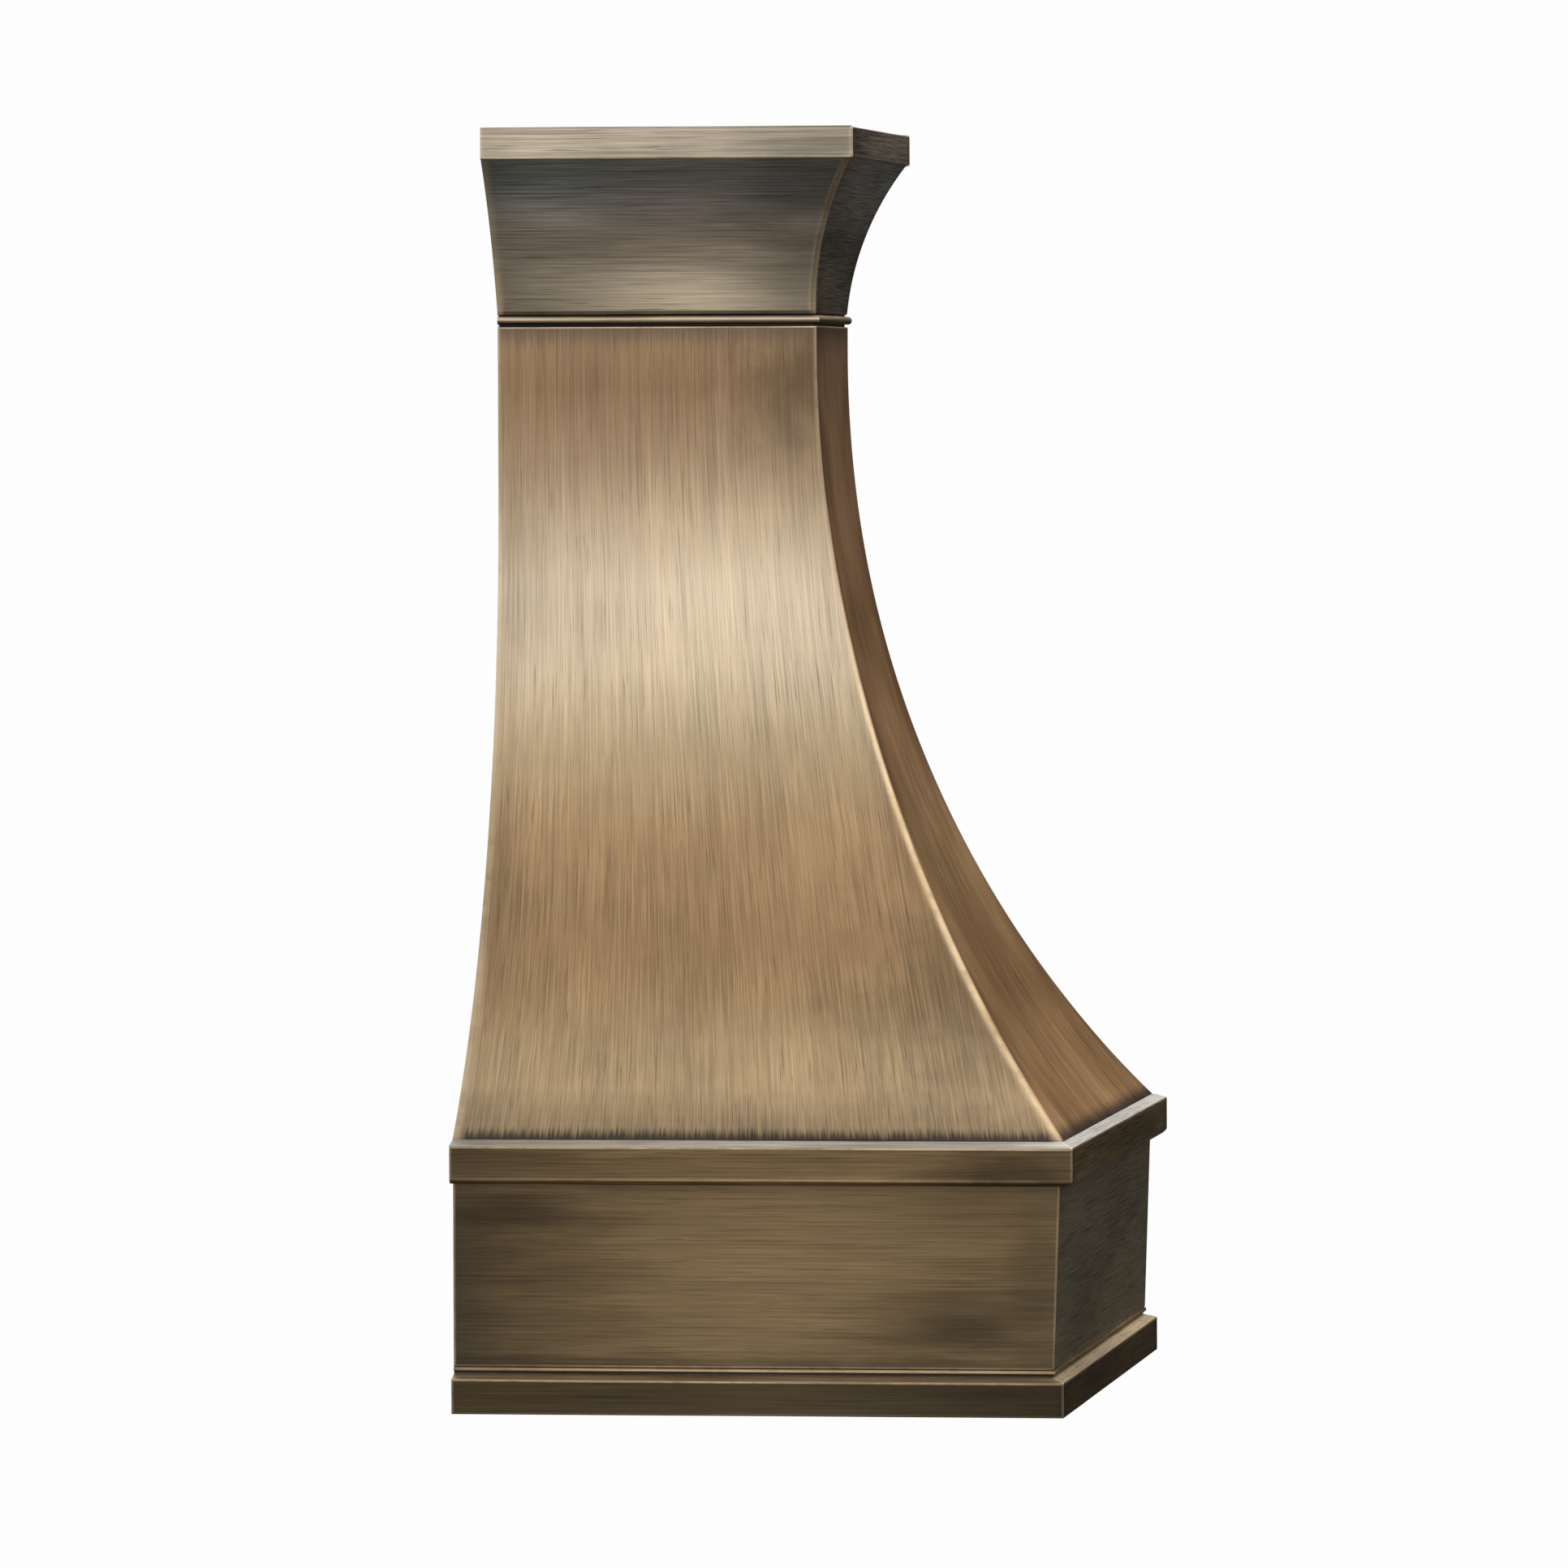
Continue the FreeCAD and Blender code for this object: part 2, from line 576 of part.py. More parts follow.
def back_panel():
    body = new_body("back_panel")
    sketch = new_sketch(body, "BackOutline", "XZ")
    inset = "(@gauge + @back_gap)"
    neck = "(%s - %s)" % (HALF_NECK, inset)
    curve = "%s + %s" % (SIDE_SWEEP, inset)
    foot = inner_foot(HALF_NECK, SIDE_SWEEP, SIDE_RISE, inset)
    low = "(@skirt_width / 2 - @gauge - @back_gap - @ledge_lap)"
    outline(sketch, [("-1 * " + neck, "@back_top"), ("-1 * " + neck, "@side_bend"),
                     ("-1 * " + foot, "@foot_level", curve, -1), ("-1 * " + low, "@foot_level"),
                     ("-1 * " + low, "@back_foot"), (low, "@back_foot"), (low, "@foot_level"),
                     (foot, "@foot_level"), (neck, "@side_bend", curve, -1), (neck, "@back_top")])
    pad(body, sketch, "@back_gauge")
    holes = new_sketch(body, "BackHoles", "XZ")
    for x, z in stud_spots():
        circle(holes, x, z, "@stud_radius")
    circle(holes, "@box_left + @box_width / 2", "@box_low + @box_height / 2", "@bushing_radius")
    pocket(body, holes)


def stud_spots():
    return [("%s * @stud_pitch / 2" % s, z) for s in ("-1", "1")
            for z in ("@rail_low", "@rail_low + @rail_pitch")]


def hang_rails():
    rails = []
    for i, level in enumerate(("@rail_low", "@rail_low + @rail_pitch")):
        bar = box("RailBar%d" % i, ("-1 * @rail_length / 2", "-1 * (@back_gauge + @rail_thick)",
                                    level + " - @rail_height / 2"),
                  ("@rail_length / 2", "-1 * @back_gauge", level + " + @rail_height / 2"))
        holes = [rod("RailHole%d%s" % (i, n), "@stud_radius", "40", ("%s * @stud_pitch / 2" % s, "-20", level), "Y")
                 for n, s in (("a", "-1"), ("b", "1"))]
        rails.append(cut("Rail%d" % i, bar, holes))
    node("hang_rails", group("hang_rails", rails))


def wall_ties():
    ties = []
    for i, (half, low) in enumerate(((HALF_NECK, "@tie_high"), ("(@skirt_width / 2)", "@tie_low"))):
        for side, sign in SIDES.items():
            face = "(%s - @gauge)" % half
            near, far = "%s * %s" % (sign, face), "%s * (%s - @tie_leg)" % (sign, face)
            thin = "%s * (%s - @tie_gauge)" % (sign, face)
            top = low + " + @tie_height"
            x0, x1 = (near, far) if sign == "-1" else (far, near)
            t0, t1 = (near, thin) if sign == "-1" else (thin, near)
            flat = box("TieBack%d%s" % (i, side), (x0, "-1 * (@back_gauge + @tie_gauge)", low),
                       (x1, "-1 * @back_gauge", top))
            arm = box("TieArm%d%s" % (i, side), (t0, "-1 * (@back_gauge + @tie_leg)", low),
                      (t1, "-1 * @back_gauge", top))
            ties.append(fuse("Tie%d%s" % (i, side), [flat, arm]))
    node("wall_ties", group("wall_ties", ties))


# ---------------------------------------------------------------- liner

FACE_FOOT = "(@trim_height + @angle_gauge)"
FACE_TOP = "(@trim_height + @angle_gauge + @face_gauge)"


def liner_face():
    body = new_body("liner_face")
    plan = new_sketch(body, "FacePlan", "XY")
    rectangle(plan, "-1 * @face_width / 2", "-1 * @face_depth", "@face_width / 2", "-1 * @face_back")
    raised(plan, FACE_FOOT)
    pad(body, plan, "@face_gauge")
    holes = new_sketch(body, "FaceHoles", "XY")
    for sign in ("-1", "1"):
        x0, x1 = sorted(("%s * @bay_inner" % sign, "%s * @bay_outer" % sign), key=value)
        rectangle(holes, x0, "-1 * @bay_front", x1, "-1 * @bay_back")
        circle(holes, "%s * @lamp_side" % sign, "-1 * @strip_centre", "@lamp_radius")
        circle(holes, "%s * @knob_side" % sign, "-1 * @strip_centre", "@stem_radius + 2")
    for x, y in screw_spots():
        circle(holes, x, y, "@screw_radius + @screw_gap")
    pocket(body, holes)


def plenum():
    body = new_body("plenum")
    for stage, kind, inset, extra in (("Outer", "PartDesign::AdditiveLoft", "0", "0"),
                                      ("Inner", "PartDesign::SubtractiveLoft", "@plenum_gauge", "1")):
        low = new_sketch(body, "Plenum%sFoot" % stage, "XY")
        rectangle(low, "-1 * (@plenum_width / 2 - %s)" % inset, "-1 * (@plenum_front - %s)" % inset,
                  "@plenum_width / 2 - " + inset, "-1 * (@plenum_back + %s)" % inset)
        raised(low, FACE_TOP)
        high = new_sketch(body, "Plenum%sHead" % stage, "XY")
        rectangle(high, "-1 * (@plenum_neck / 2 - %s)" % inset, "-1 * (@plenum_neck_front - %s)" % inset,
                  "@plenum_neck / 2 - " + inset, "-1 * (@plenum_back + %s)" % inset)
        raised(high, "@plenum_top - " + inset)
        loft = body.newObject(kind, "Plenum%s" % stage)
        loft.Profile = low
        loft.Sections = [high]
        loft.Ruled = True
        body.Tip = loft
    hole = new_sketch(body, "PlenumHole", "XY")
    raised(hole, "@plenum_top")
    circle(hole, "0", "-1 * @duct_centre", "@collar_radius - @collar_gauge")
    feature = pocket(body, hole)
    feature.SideType = "One side"
    feature.Type = "Length"
    drive(feature, "Length", "@plenum_gauge * 2")


# ---------------------------------------------------------------- filters

FILTER_FOOT = "(@trim_height + @angle_gauge + @face_gauge + @filter_lift)"
PIN_DEPTH = "(@bay_back + @filter_gap + @pin_inset)"
PIN_LEVEL = "(@trim_height + @angle_gauge + @face_gauge + @filter_lift + @filter_thick / 2)"
BAIL_DEPTH = "(@bay_front - @filter_gap - @bail_inset)"
BAIL_LEVEL = "(@trim_height + @angle_gauge + @face_gauge + @filter_lift - @lug_size / 2)"


def span(sign, a, b):
    """The two ends of a stretch on one side, lower first."""
    return sorted(("%s * (%s)" % (sign, a), "%s * (%s)" % (sign, b)), key=value)


def filter_frame(side, sign):
    x0, x1 = span(sign, "@bay_inner + @filter_gap", "@bay_outer - @filter_gap")
    y0, y1 = "-1 * (@bay_front - @filter_gap)", "-1 * (@bay_back + @filter_gap)"
    z1 = FILTER_FOOT + " + @filter_thick"
    block = box("FilterBlock" + side, (x0, y0, FILTER_FOOT), (x1, y1, z1))
    rail = "@filter_rail"
    hole = box("FilterHole" + side, ("%s + %s" % (x0, rail), "%s + %s" % (y0, rail), FILTER_FOOT + " - 1"),
               ("%s - %s" % (x1, rail), "%s - %s" % (y1, rail), z1 + " + 1"))
    node("filter_frame_" + side, cut("filter_frame_" + side, block, [hole]))


def channel(sketch, x, z, down):
    """A three-sided baffle section opening down or up."""
    half, rise, g = "@baffle_width / 2", "@baffle_height", "@baffle_gauge"
    base, tip = ("0", rise) if down < 0 else (rise, "0")
    inner = "(%s)" % (rise + " - " + g) if down > 0 else g
    outline(sketch, [("%s - %s" % (x, half), "%s + %s" % (z, base)), ("%s + %s" % (x, half), "%s + %s" % (z, base)),
                     ("%s + %s" % (x, half), "%s + %s" % (z, tip)),
                     ("%s + %s - %s" % (x, half, g), "%s + %s" % (z, tip)),
                     ("%s + %s - %s" % (x, half, g), "%s + %s" % (z, inner)),
                     ("%s - %s + %s" % (x, half, g), "%s + %s" % (z, inner)),
                     ("%s - %s + %s" % (x, half, g), "%s + %s" % (z, tip)),
                     ("%s - %s" % (x, half), "%s + %s" % (z, tip))])


def filter_baffles(side, sign):
    sketch = doc.addObject("Sketcher::SketchObject", "Baffles" + side)
    sketch.Placement = FreeCAD.Placement(FreeCAD.Vector(), FreeCAD.Rotation(X_AXIS, 90))
    middle = "%s * (@bay_inner + @bay_outer) / 2" % sign
    for i in range(-3, 5):
        channel(sketch, "%s + (%s) * @baffle_pitch" % (middle, i - 0.5), FILTER_FOOT + " + 0.8", 1)
    for i in range(-3, 4):
        channel(sketch, "%s + (%s) * @baffle_pitch" % (middle, i), FILTER_FOOT + " + @filter_thick - 0.8 - @baffle_height", -1)
    solid = doc.addObject("Part::Extrusion", "filter_baffles_" + side)
    solid.Base = sketch
    solid.DirMode = "Custom"
    solid.Dir = Y_AXIS * -1
    solid.Solid = True
    drive(solid, "LengthFwd", "@bay_front - @filter_gap - @filter_rail")
    drive(solid, "LengthRev", "-1 * (@bay_back + @filter_gap + @filter_rail)")
    node("filter_baffles_" + side, solid)


def filter_pins(side, sign):
    pins = []
    for end, spot in (("In", "@bay_inner + @filter_gap"), ("Out", "@bay_outer - @filter_gap")):
        way = -1 if end == "In" else 1
        x0, _ = span(sign, spot, "%s + %d * @pin_length" % (spot, way))
        pins.append(rod("Pin%s%s" % (side, end), "@pin_radius", "@pin_length",
                        (x0, "-1 * " + PIN_DEPTH, PIN_LEVEL), "X"))
    node("filter_pins_" + side, group("filter_pins_" + side, pins))


def filter_clips():
    clips = []
    for side, sign in SIDES.items():
        for end, spot, way in (("In", "@bay_inner", -1), ("Out", "@bay_outer", 1)):
            x0, x1 = span(sign, "%s + %d" % (spot, way), "%s + %d + %d * @clip_width" % (spot, way, way))
            block = box("ClipBlock" + side + end, (x0, "-1 * (%s + @clip_depth / 2)" % PIN_DEPTH, FACE_TOP),
                        (x1, "-1 * (%s - @clip_depth / 2)" % PIN_DEPTH, PIN_LEVEL + " + @clip_depth / 2"))
            hole = rod("ClipBore" + side + end, "@pin_radius + @pin_room", "@clip_width",
                       (x0, "-1 * " + PIN_DEPTH, PIN_LEVEL), "X")
            clips.append(cut("Clip" + side + end, block, [hole]))
    node("filter_clips", group("filter_clips", clips))


def bail(side, sign):
    """A wire pull that lies flat under the filter and hangs in two lugs."""
    middle = "%s * (@bay_inner + @bay_outer) / 2" % sign
    y, z = "-1 * " + BAIL_DEPTH, BAIL_LEVEL
    wire, half = "@bail_wire", "@bail_span / 2"
    parts = [rod("BailBar" + side, wire, "@bail_span", ("%s - %s" % (middle, half), y + " + @bail_drop", z), "X")]
    lugs = []
    for end, way in (("A", "-1"), ("B", "1")):
        x = "%s + %s * %s" % (middle, way, half)
        parts.append(rod("BailArm" + side + end, wire, "@bail_drop", (x, y, z), "Y"))
        for spot, level in (("Heel", y), ("Toe", y + " + @bail_drop")):
            ball = doc.addObject("Part::Sphere", "Bail%s%s%s" % (spot, side, end))
            drive(ball, "Radius", wire)
            parts.append(place(ball, x, level, z))
        reach = "@lug_gap / 2 + @lug_size + 1"
        foot = x if way == "1" else "%s - (%s)" % (x, reach)
        parts.append(rod("BailFoot" + side + end, wire, reach, (foot, y, z), "X"))
        near, far = sorted(("%s + %s * @lug_gap / 2" % (x, way),
                            "%s + %s * (@lug_gap / 2 + @lug_size)" % (x, way)), key=value)
        block = box("LugBlock" + side + end, (near, "%s - @lug_size" % y, z + " - @lug_size / 2"),
                    (far, "%s + @lug_size" % y, z + " + @lug_size / 2"))
        hole = rod("LugBore" + side + end, wire + " + @bail_room", "@lug_size", (near, y, z), "X")
        lugs.append(cut("Lug" + side + end, block, [hole]))
    node("bail_" + side, fuse("bail_" + side, parts))
    node("bail_lugs_" + side, group("bail_lugs_" + side, lugs))


# ---------------------------------------------------------------- lamps and controls

def lamps():
    bezels, lenses, pucks = [], [], []
    for side, sign in SIDES.items():
        x, y = "%s * @lamp_side" % sign, "-1 * @strip_centre"
        ring = rod("BezelRing" + side, "@lamp_flange", "2", (x, y, FACE_FOOT + " - 2"))
        neck = rod("BezelNeck" + side, "@lamp_radius", "@face_gauge", (x, y, FACE_FOOT))
        hole = rod("BezelHole" + side, "@lens_radius", "2 + @face_gauge", (x, y, FACE_FOOT + " - 2"))
        bezels.append(cut("Bezel" + side, fuse("BezelBody" + side, [ring, neck]), [hole]))
        lenses.append(rod("Lens" + side, "@lens_radius", "@face_gauge + 1", (x, y, FACE_FOOT + " - 1")))
        pucks.append(rod("Puck" + side, "@lamp_radius", "@lamp_height", (x, y, FACE_TOP)))
    node("lamp_bezels", group("lamp_bezels", bezels))
    node("lamp_lenses", group("lamp_lenses", lenses))
    node("lamp_pucks", group("lamp_pucks", pucks))


def knob(name, sign):
    x, y = "%s * @knob_side" % sign, "-1 * @strip_centre"
    top = FACE_FOOT + " - @knob_gap"
    foot = "(%s - @knob_height)" % top
    body = new_body("knob_" + name)
    plan = new_sketch(body, "Knob%sPlan" % name, "XY")
    circle(plan, x, y, "@knob_radius")
    raised(plan, foot)
    pad(body, plan, "@knob_height")
    doc.recompute()
    base = body.Tip
    rims = [i + 1 for i, e in enumerate(base.Shape.Edges) if abs(e.CenterOfMass.z - value(foot)) < 0.01]
    fillet = body.newObject("PartDesign::Fillet", "Knob%sRound" % name)
    fillet.Base = (base, ["Edge%d" % i for i in rims])
    drive(fillet, "Radius", "@knob_round")
    body.Tip = fillet
    grips = new_sketch(body, "Knob%sGrips" % name, "XY")
    step = 360.0 / value("@grip_count")
    for i in range(int(value("@grip_count"))):
        angle = "(%g)" % (i * step + step / 2)
        circle(grips, "%s + (@knob_radius + 0.9) * cos(%s)" % (x, angle),
               "%s + (@knob_radius + 0.9) * sin(%s)" % (y, angle), "@grip_radius")
    pocket(body, grips)
    bore = new_sketch(body, "Knob%sBore" % name, "XY")
    circle(bore, x, y, "@stem_radius")
    raised(bore, top)
    feature = pocket(body, bore)
    feature.SideType = "One side"
    feature.Type = "Length"
    drive(feature, "Length", "@stem_bury")
    stem = rod("stem_" + name, "@stem_radius", "@stem_bury + @knob_gap + @angle_gauge + @pot_height",
               (x, y, "%s - @stem_bury" % top))
    node("stem_" + name, stem)


def control_pots():
    pots = []
    for side, sign in SIDES.items():
        x, y = "%s * @knob_side" % sign, "-1 * @strip_centre"
        pots.append(tube("Pot" + side, "@pot_radius", "@stem_radius + @stem_room", "@pot_height",
                         (x, y, FACE_TOP)))
    node("control_pots", group("control_pots", pots))


# ---------------------------------------------------------------- blower

AXIS_Y = "-1 * @axis_depth"


def scroll_outer(inset):
    """Corners of the scroll wrap from the throat's wall side round to the tongue."""
    back = "-1 * (@throat_back + %s)" % inset
    low_y = "-1 * (@throat_back + @scroll_r1)"
    low_z = "@throat_bend - @scroll_r1"
    front = "%s - @scroll_r2" % low_y
    front_z = "%s + @scroll_r2" % low_z
    tongue_y = "%s + @scroll_r3" % front
    return [(back, "@throat_top"), (back, "@throat_bend"),
            (low_y, "%s + %s" % (low_z, inset), "@scroll_r1 - " + inset, -1),
            ("%s + %s" % (front, inset), front_z, "@scroll_r2 - " + inset, -1),
            (tongue_y, "%s + @scroll_r3 - %s" % (front_z, inset), "@scroll_r3 - " + inset, -1)]


def scroll():
    wrap = new_body("scroll_wrap")
    sketch = new_sketch(wrap, "WrapSection", "YZ")
    g = "@scroll_gauge"
    outer, inner = scroll_outer("0"), scroll_outer(g)
    lip = [("-1 * @throat_front", "@throat_top"), ("-1 * @throat_front + %s * 1.1" % g, "@throat_top"),
           ("%s + %s" % (outer[-1][0], g), "%s + %s / 2" % (outer[-1][1], g))]
    outline(sketch, outer + lip + sheet_outline([], inner))
    pad(wrap, sketch, "@scroll_width", symmetric=True)
    cheeks = []
    for side, sign in SIDES.items():
        face = doc.addObject("Sketcher::SketchObject", "Cheek" + side)
        face.Placement = FreeCAD.Placement(FreeCAD.Vector(), FreeCAD.Rotation(1 / 2, 1 / 2, 1 / 2, 1 / 2))
        drive(face, "Placement.Base.x", "%s * @scroll_width / 2" % sign)
        outline(face, outer + lip[:1])
        circle(face, AXIS_Y, "@axis_level", "@inlet_radius + 0.1")
        plate = doc.addObject("Part::Extrusion", "CheekPlate" + side)
        plate.Base = face
        plate.DirMode = "Custom"
        plate.Dir = X_AXIS * float(sign)
        plate.Solid = True
        drive(plate, "LengthFwd", g)
        cheeks.append(plate)
    node("scroll_cheeks", group("scroll_cheeks", cheeks))


def inlet_rings():
    rings = []
    for side, sign in SIDES.items():
        x0, _ = span(sign, "@inlet_in", "@inlet_out")
        rings.append(tube("Inlet" + side, "@inlet_radius", "@inlet_bore", "@inlet_out - @inlet_in",
                          (x0, AXIS_Y, "@axis_level"), "X"))
    node("inlet_rings", group("inlet_rings", rings))


def impeller_cage():
    body = new_body("impeller_cage")
    ring = new_sketch(body, "WheelRing", "YZ")
    circle(ring, "0", "0", "@wheel_radius")
    circle(ring, "0", "0", "@wheel_inner")
    drive(ring, "AttachmentOffset.Base.z", "-1 * @wheel_width / 2")
    pad(body, ring, "@wheel_ring")
    blade = new_sketch(body, "WheelBlade", "YZ")
    low, high, g = "@wheel_inner + 0.3", "@wheel_radius - 0.3", "@blade_gauge"
    outline(blade, [(low, "0"), (high, "7", "10", -1), (high, "7 - %s" % g), (low, "-1 * " + g, "10", 1)])
    drive(blade, "AttachmentOffset.Base.z", "-1 * @wheel_width / 2")
    one_blade = pad(body, blade, "@wheel_width")
    pattern = body.newObject("PartDesign::PolarPattern", "WheelBlades")
    pattern.Originals = [one_blade]
    axis = [f for f in body.Origin.OriginFeatures if f.Role == "X_Axis"][0]
    pattern.Axis = (axis, [""])
    pattern.Angle = 360
    drive(pattern, "Occurrences", "@blade_count")
    body.Tip = pattern
    rim = new_sketch(body, "WheelRim", "YZ")
    circle(rim, "0", "0", "@wheel_radius")
    circle(rim, "0", "0", "@wheel_inner")
    drive(rim, "AttachmentOffset.Base.z", "@wheel_width / 2 - @wheel_ring")
    pad(body, rim, "@wheel_ring")
    place(body, "0", AXIS_Y, "@axis_level")


def impeller_disc():
    body = new_body("impeller_disc")
    for stage, radius, length in (("Disc", "@wheel_inner", "@disc_gauge"), ("Hub", "@hub_radius", "@hub_length")):
        sketch = new_sketch(body, "Wheel" + stage, "YZ")
        circle(sketch, "0", "0", radius)
        circle(sketch, "0", "0", "@shaft_radius")
        pad(body, sketch, length, symmetric=stage == "Disc")
    place(body, "0", AXIS_Y, "@axis_level")


def motor():
    spot = ("-1 * @can_back", AXIS_Y, "@axis_level")
    can = rod("CanBody", "@can_radius", "@can_back - @can_front", spot, "X")
    soft = rounded("CanRound", can, "4", lambda e: abs(e.CenterOfMass.x + value("@can_front")) < 0.01
                   and e.Length > value("@can_radius"))
    bore = rod("CanBore", "@shaft_radius + @shaft_room", "@shaft_end", ("-1 * (@shaft_end + 1)", AXIS_Y, "@axis_level"), "X")
    node("motor_can", cut("motor_can", soft, [bore]))
    node("motor_shaft", rod("motor_shaft", "@shaft_radius", "@shaft_end + @hub_length",
                            ("-1 * @shaft_end", AXIS_Y, "@axis_level"), "X"))
    spider = [rod("SpiderHub", "@spider_hub", "@spider_gauge",
                  ("-1 * (@can_back + @spider_gauge)", AXIS_Y, "@axis_level"), "X")]
    for i in range(3):
        arm = doc.addObject("Part::Box", "SpiderArm%d" % i)
        drive(arm, "Length", "@spider_gauge")
        drive(arm, "Width", "@spider_arm")
        drive(arm, "Height", "@spider_reach")
        foot = doc.addObject("Part::Box", "SpiderFoot%d" % i)
        drive(foot, "Length", "@can_back - @scroll_width / 2 - @scroll_gauge")
        drive(foot, "Width", "@spider_arm")
        drive(foot, "Height", "@spider_reach - @inlet_radius - 6")
        turn = FreeCAD.Rotation(X_AXIS, 120 * i)
        centre = FreeCAD.Vector(0, -value("@axis_depth"), value("@axis_level"))
        half = value("@spider_arm") / 2
        arm.Placement = FreeCAD.Placement(
            centre + FreeCAD.Vector(-value("@can_back + @spider_gauge"), 0, 0) + turn.multVec(FreeCAD.Vector(0, -half, 0)), turn)
        rise = value("@inlet_radius + 6")
        foot.Placement = FreeCAD.Placement(
            centre + FreeCAD.Vector(-value("@can_back"), 0, 0) + turn.multVec(FreeCAD.Vector(0, -half, rise)), turn)
        spider += [arm, foot]
    node("motor_spider", fuse("motor_spider", spider))


# ---------------------------------------------------------------- damper and supply box

DUCT_Y = "-1 * @duct_centre"


def damper_collar():
    pipe = rod("CollarPipe", "@collar_radius", "@collar_top - @plenum_top", ("0", DUCT_Y, "@plenum_top"))
    flange = rod("CollarFlange", "@collar_flange", "@plenum_gauge", ("0", DUCT_Y, "@plenum_top"))
    bore = rod("CollarBore", "@collar_radius - @collar_gauge", "@collar_top", ("0", DUCT_Y, "@plenum_top - 1"))
    hole = rod("CollarRodHole", "@rod_radius", "2 * @collar_flange",
               ("-1 * @collar_flange", DUCT_Y, "@flap_level"), "X")
    node("damper_collar", cut("damper_collar", fuse("CollarBody", [pipe, flange]), [bore, hole]))
    node("damper_rod", rod("damper_rod", "@rod_radius", "2 * @collar_radius",
                           ("-1 * @collar_radius", DUCT_Y, "@flap_level"), "X"))


def flap(name, sign, places):
    """A half disc with knuckles that turn on the damper rod."""
    disc = rod("Flap%sDisc" % name, "@flap_radius", "@flap_gauge", ("0", DUCT_Y, "@flap_level - @flap_gauge / 2"))
    y0, y1 = sorted(("%s + %s * @flap_gap" % (DUCT_Y, sign), "%s + %s * 200" % (DUCT_Y, sign)), key=value)
    keep = box("Flap%sKeep" % name, ("-150", y0, "@flap_level - 5"), ("150", y1, "@flap_level + 5"))
    half = doc.addObject("Part::Common", "Flap%sHalf" % name)
    half.Base, half.Tool = disc, keep
    parts = [half]
    for i in places:
        x = "(%s) * @knuckle_pitch - @knuckle_length / 2" % i
        barrel = rod("Flap%sBarrel%g" % (name, i), "@knuckle_radius", "@knuckle_length", (x, DUCT_Y, "@flap_level"), "X")
        t0, t1 = sorted(("%s + %s * (@flap_gap + 1)" % (DUCT_Y, sign), "%s + %s * 4" % (DUCT_Y, sign)), key=value)
        tab = box("Flap%sTab%g" % (name, i), (x, t0, "@flap_level - @flap_gauge / 2"),
                  (x + " + @knuckle_length", t1, "@flap_level + @flap_gauge / 2"))
        parts += [barrel, tab]
    bore = rod("Flap%sBore" % name, "@rod_radius + @rod_room", "300", ("-150", DUCT_Y, "@flap_level"), "X")
    node("flap_" + name, cut("flap_" + name, fuse("Flap%sBody" % name, parts), [bore]))


def supply_box():
    x0, x1 = "@box_left", "@box_left + @box_width"
    y0, y1 = "-1 * (@back_gauge + @box_depth)", "-1 * @back_gauge"
    z0, z1 = "@box_low", "@box_low + @box_height"
    g = "@box_gauge"
    mid_x, mid_z = "@box_left + @box_width / 2", "@box_low + @box_height / 2"
    shell_block = box("BoxBlock", (x0, y0, z0), (x1, y1, z1))
    room = box("BoxRoom", (x0 + " + " + g, y0 + " - 1", z0 + " + " + g), (x1 + " - " + g, y1 + " - " + g, z1 + " - " + g))
    hole = rod("BoxHole", "@bushing_radius", "20", (mid_x, "-1 * (@back_gauge + 10)", mid_z), "Y")
    node("supply_box", cut("supply_box", shell_block, [room, hole]))
    node("supply_lid", box("supply_lid", (x0, y0 + " - " + g, z0), (x1, y0, z1)))
    node("conduit_bushing", tube("conduit_bushing", "@bushing_radius", "@bushing_bore", "@bushing_length",
                                 (mid_x, "-1 * @bushing_length", mid_z), "Y"))


# ---------------------------------------------------------------- build and write

def build():
    fill_sheet()
    shell()
    base_frame()
    back_panel()
    hang_rails()
    wall_ties()
    liner_face()
    plenum()
    liner_screws()
    filter_clips()
    for side, sign in SIDES.items():
        filter_frame(side, sign)
        filter_baffles(side, sign)
        filter_pins(side, sign)
        bail(side, sign)
    lamps()
    knob("fan", "-1")
    knob("light", "1")
    control_pots()
    scroll()
    inlet_rings()
    impeller_cage()
    impeller_disc()
    motor()
    damper_collar()
    flap("front", "-1", (-2.5, -0.5, 1.5))
    flap("rear", "1", (-1.5, 0.5, 2.5))
    supply_box()
    doc.recompute()


def check():
    faults = [obj.Name for obj in doc.Objects if "Invalid" in obj.State or "Error" in obj.State]
    faults += [name for name, obj in nodes.items()
               if obj.Shape.isNull() or not obj.Shape.isValid() or not obj.Shape.Solids]
    if faults:
        raise RuntimeError("not built: " + ", ".join(faults))


def write():
    os.makedirs("parts", exist_ok=True)
    for name, obj in nodes.items():
        obj.Shape.exportStep(os.path.join("parts", name + ".step"))


build()
check()
write()
for label, item in nodes.items():
    size = item.Shape.BoundBox
    print("%-22s solids %2d  volume %10.0f  x %.1f..%.1f  y %.1f..%.1f  z %.1f..%.1f" % (
        label, len(item.Shape.Solids), item.Shape.Volume, size.XMin, size.XMax, size.YMin, size.YMax,
        size.ZMin, size.ZMax))
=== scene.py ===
"""Looks of the wall range hood: brass shell panels, materials, soft studio light, camera."""
import json
import math

import bmesh
import bpy
from mathutils import Matrix, Vector, noise


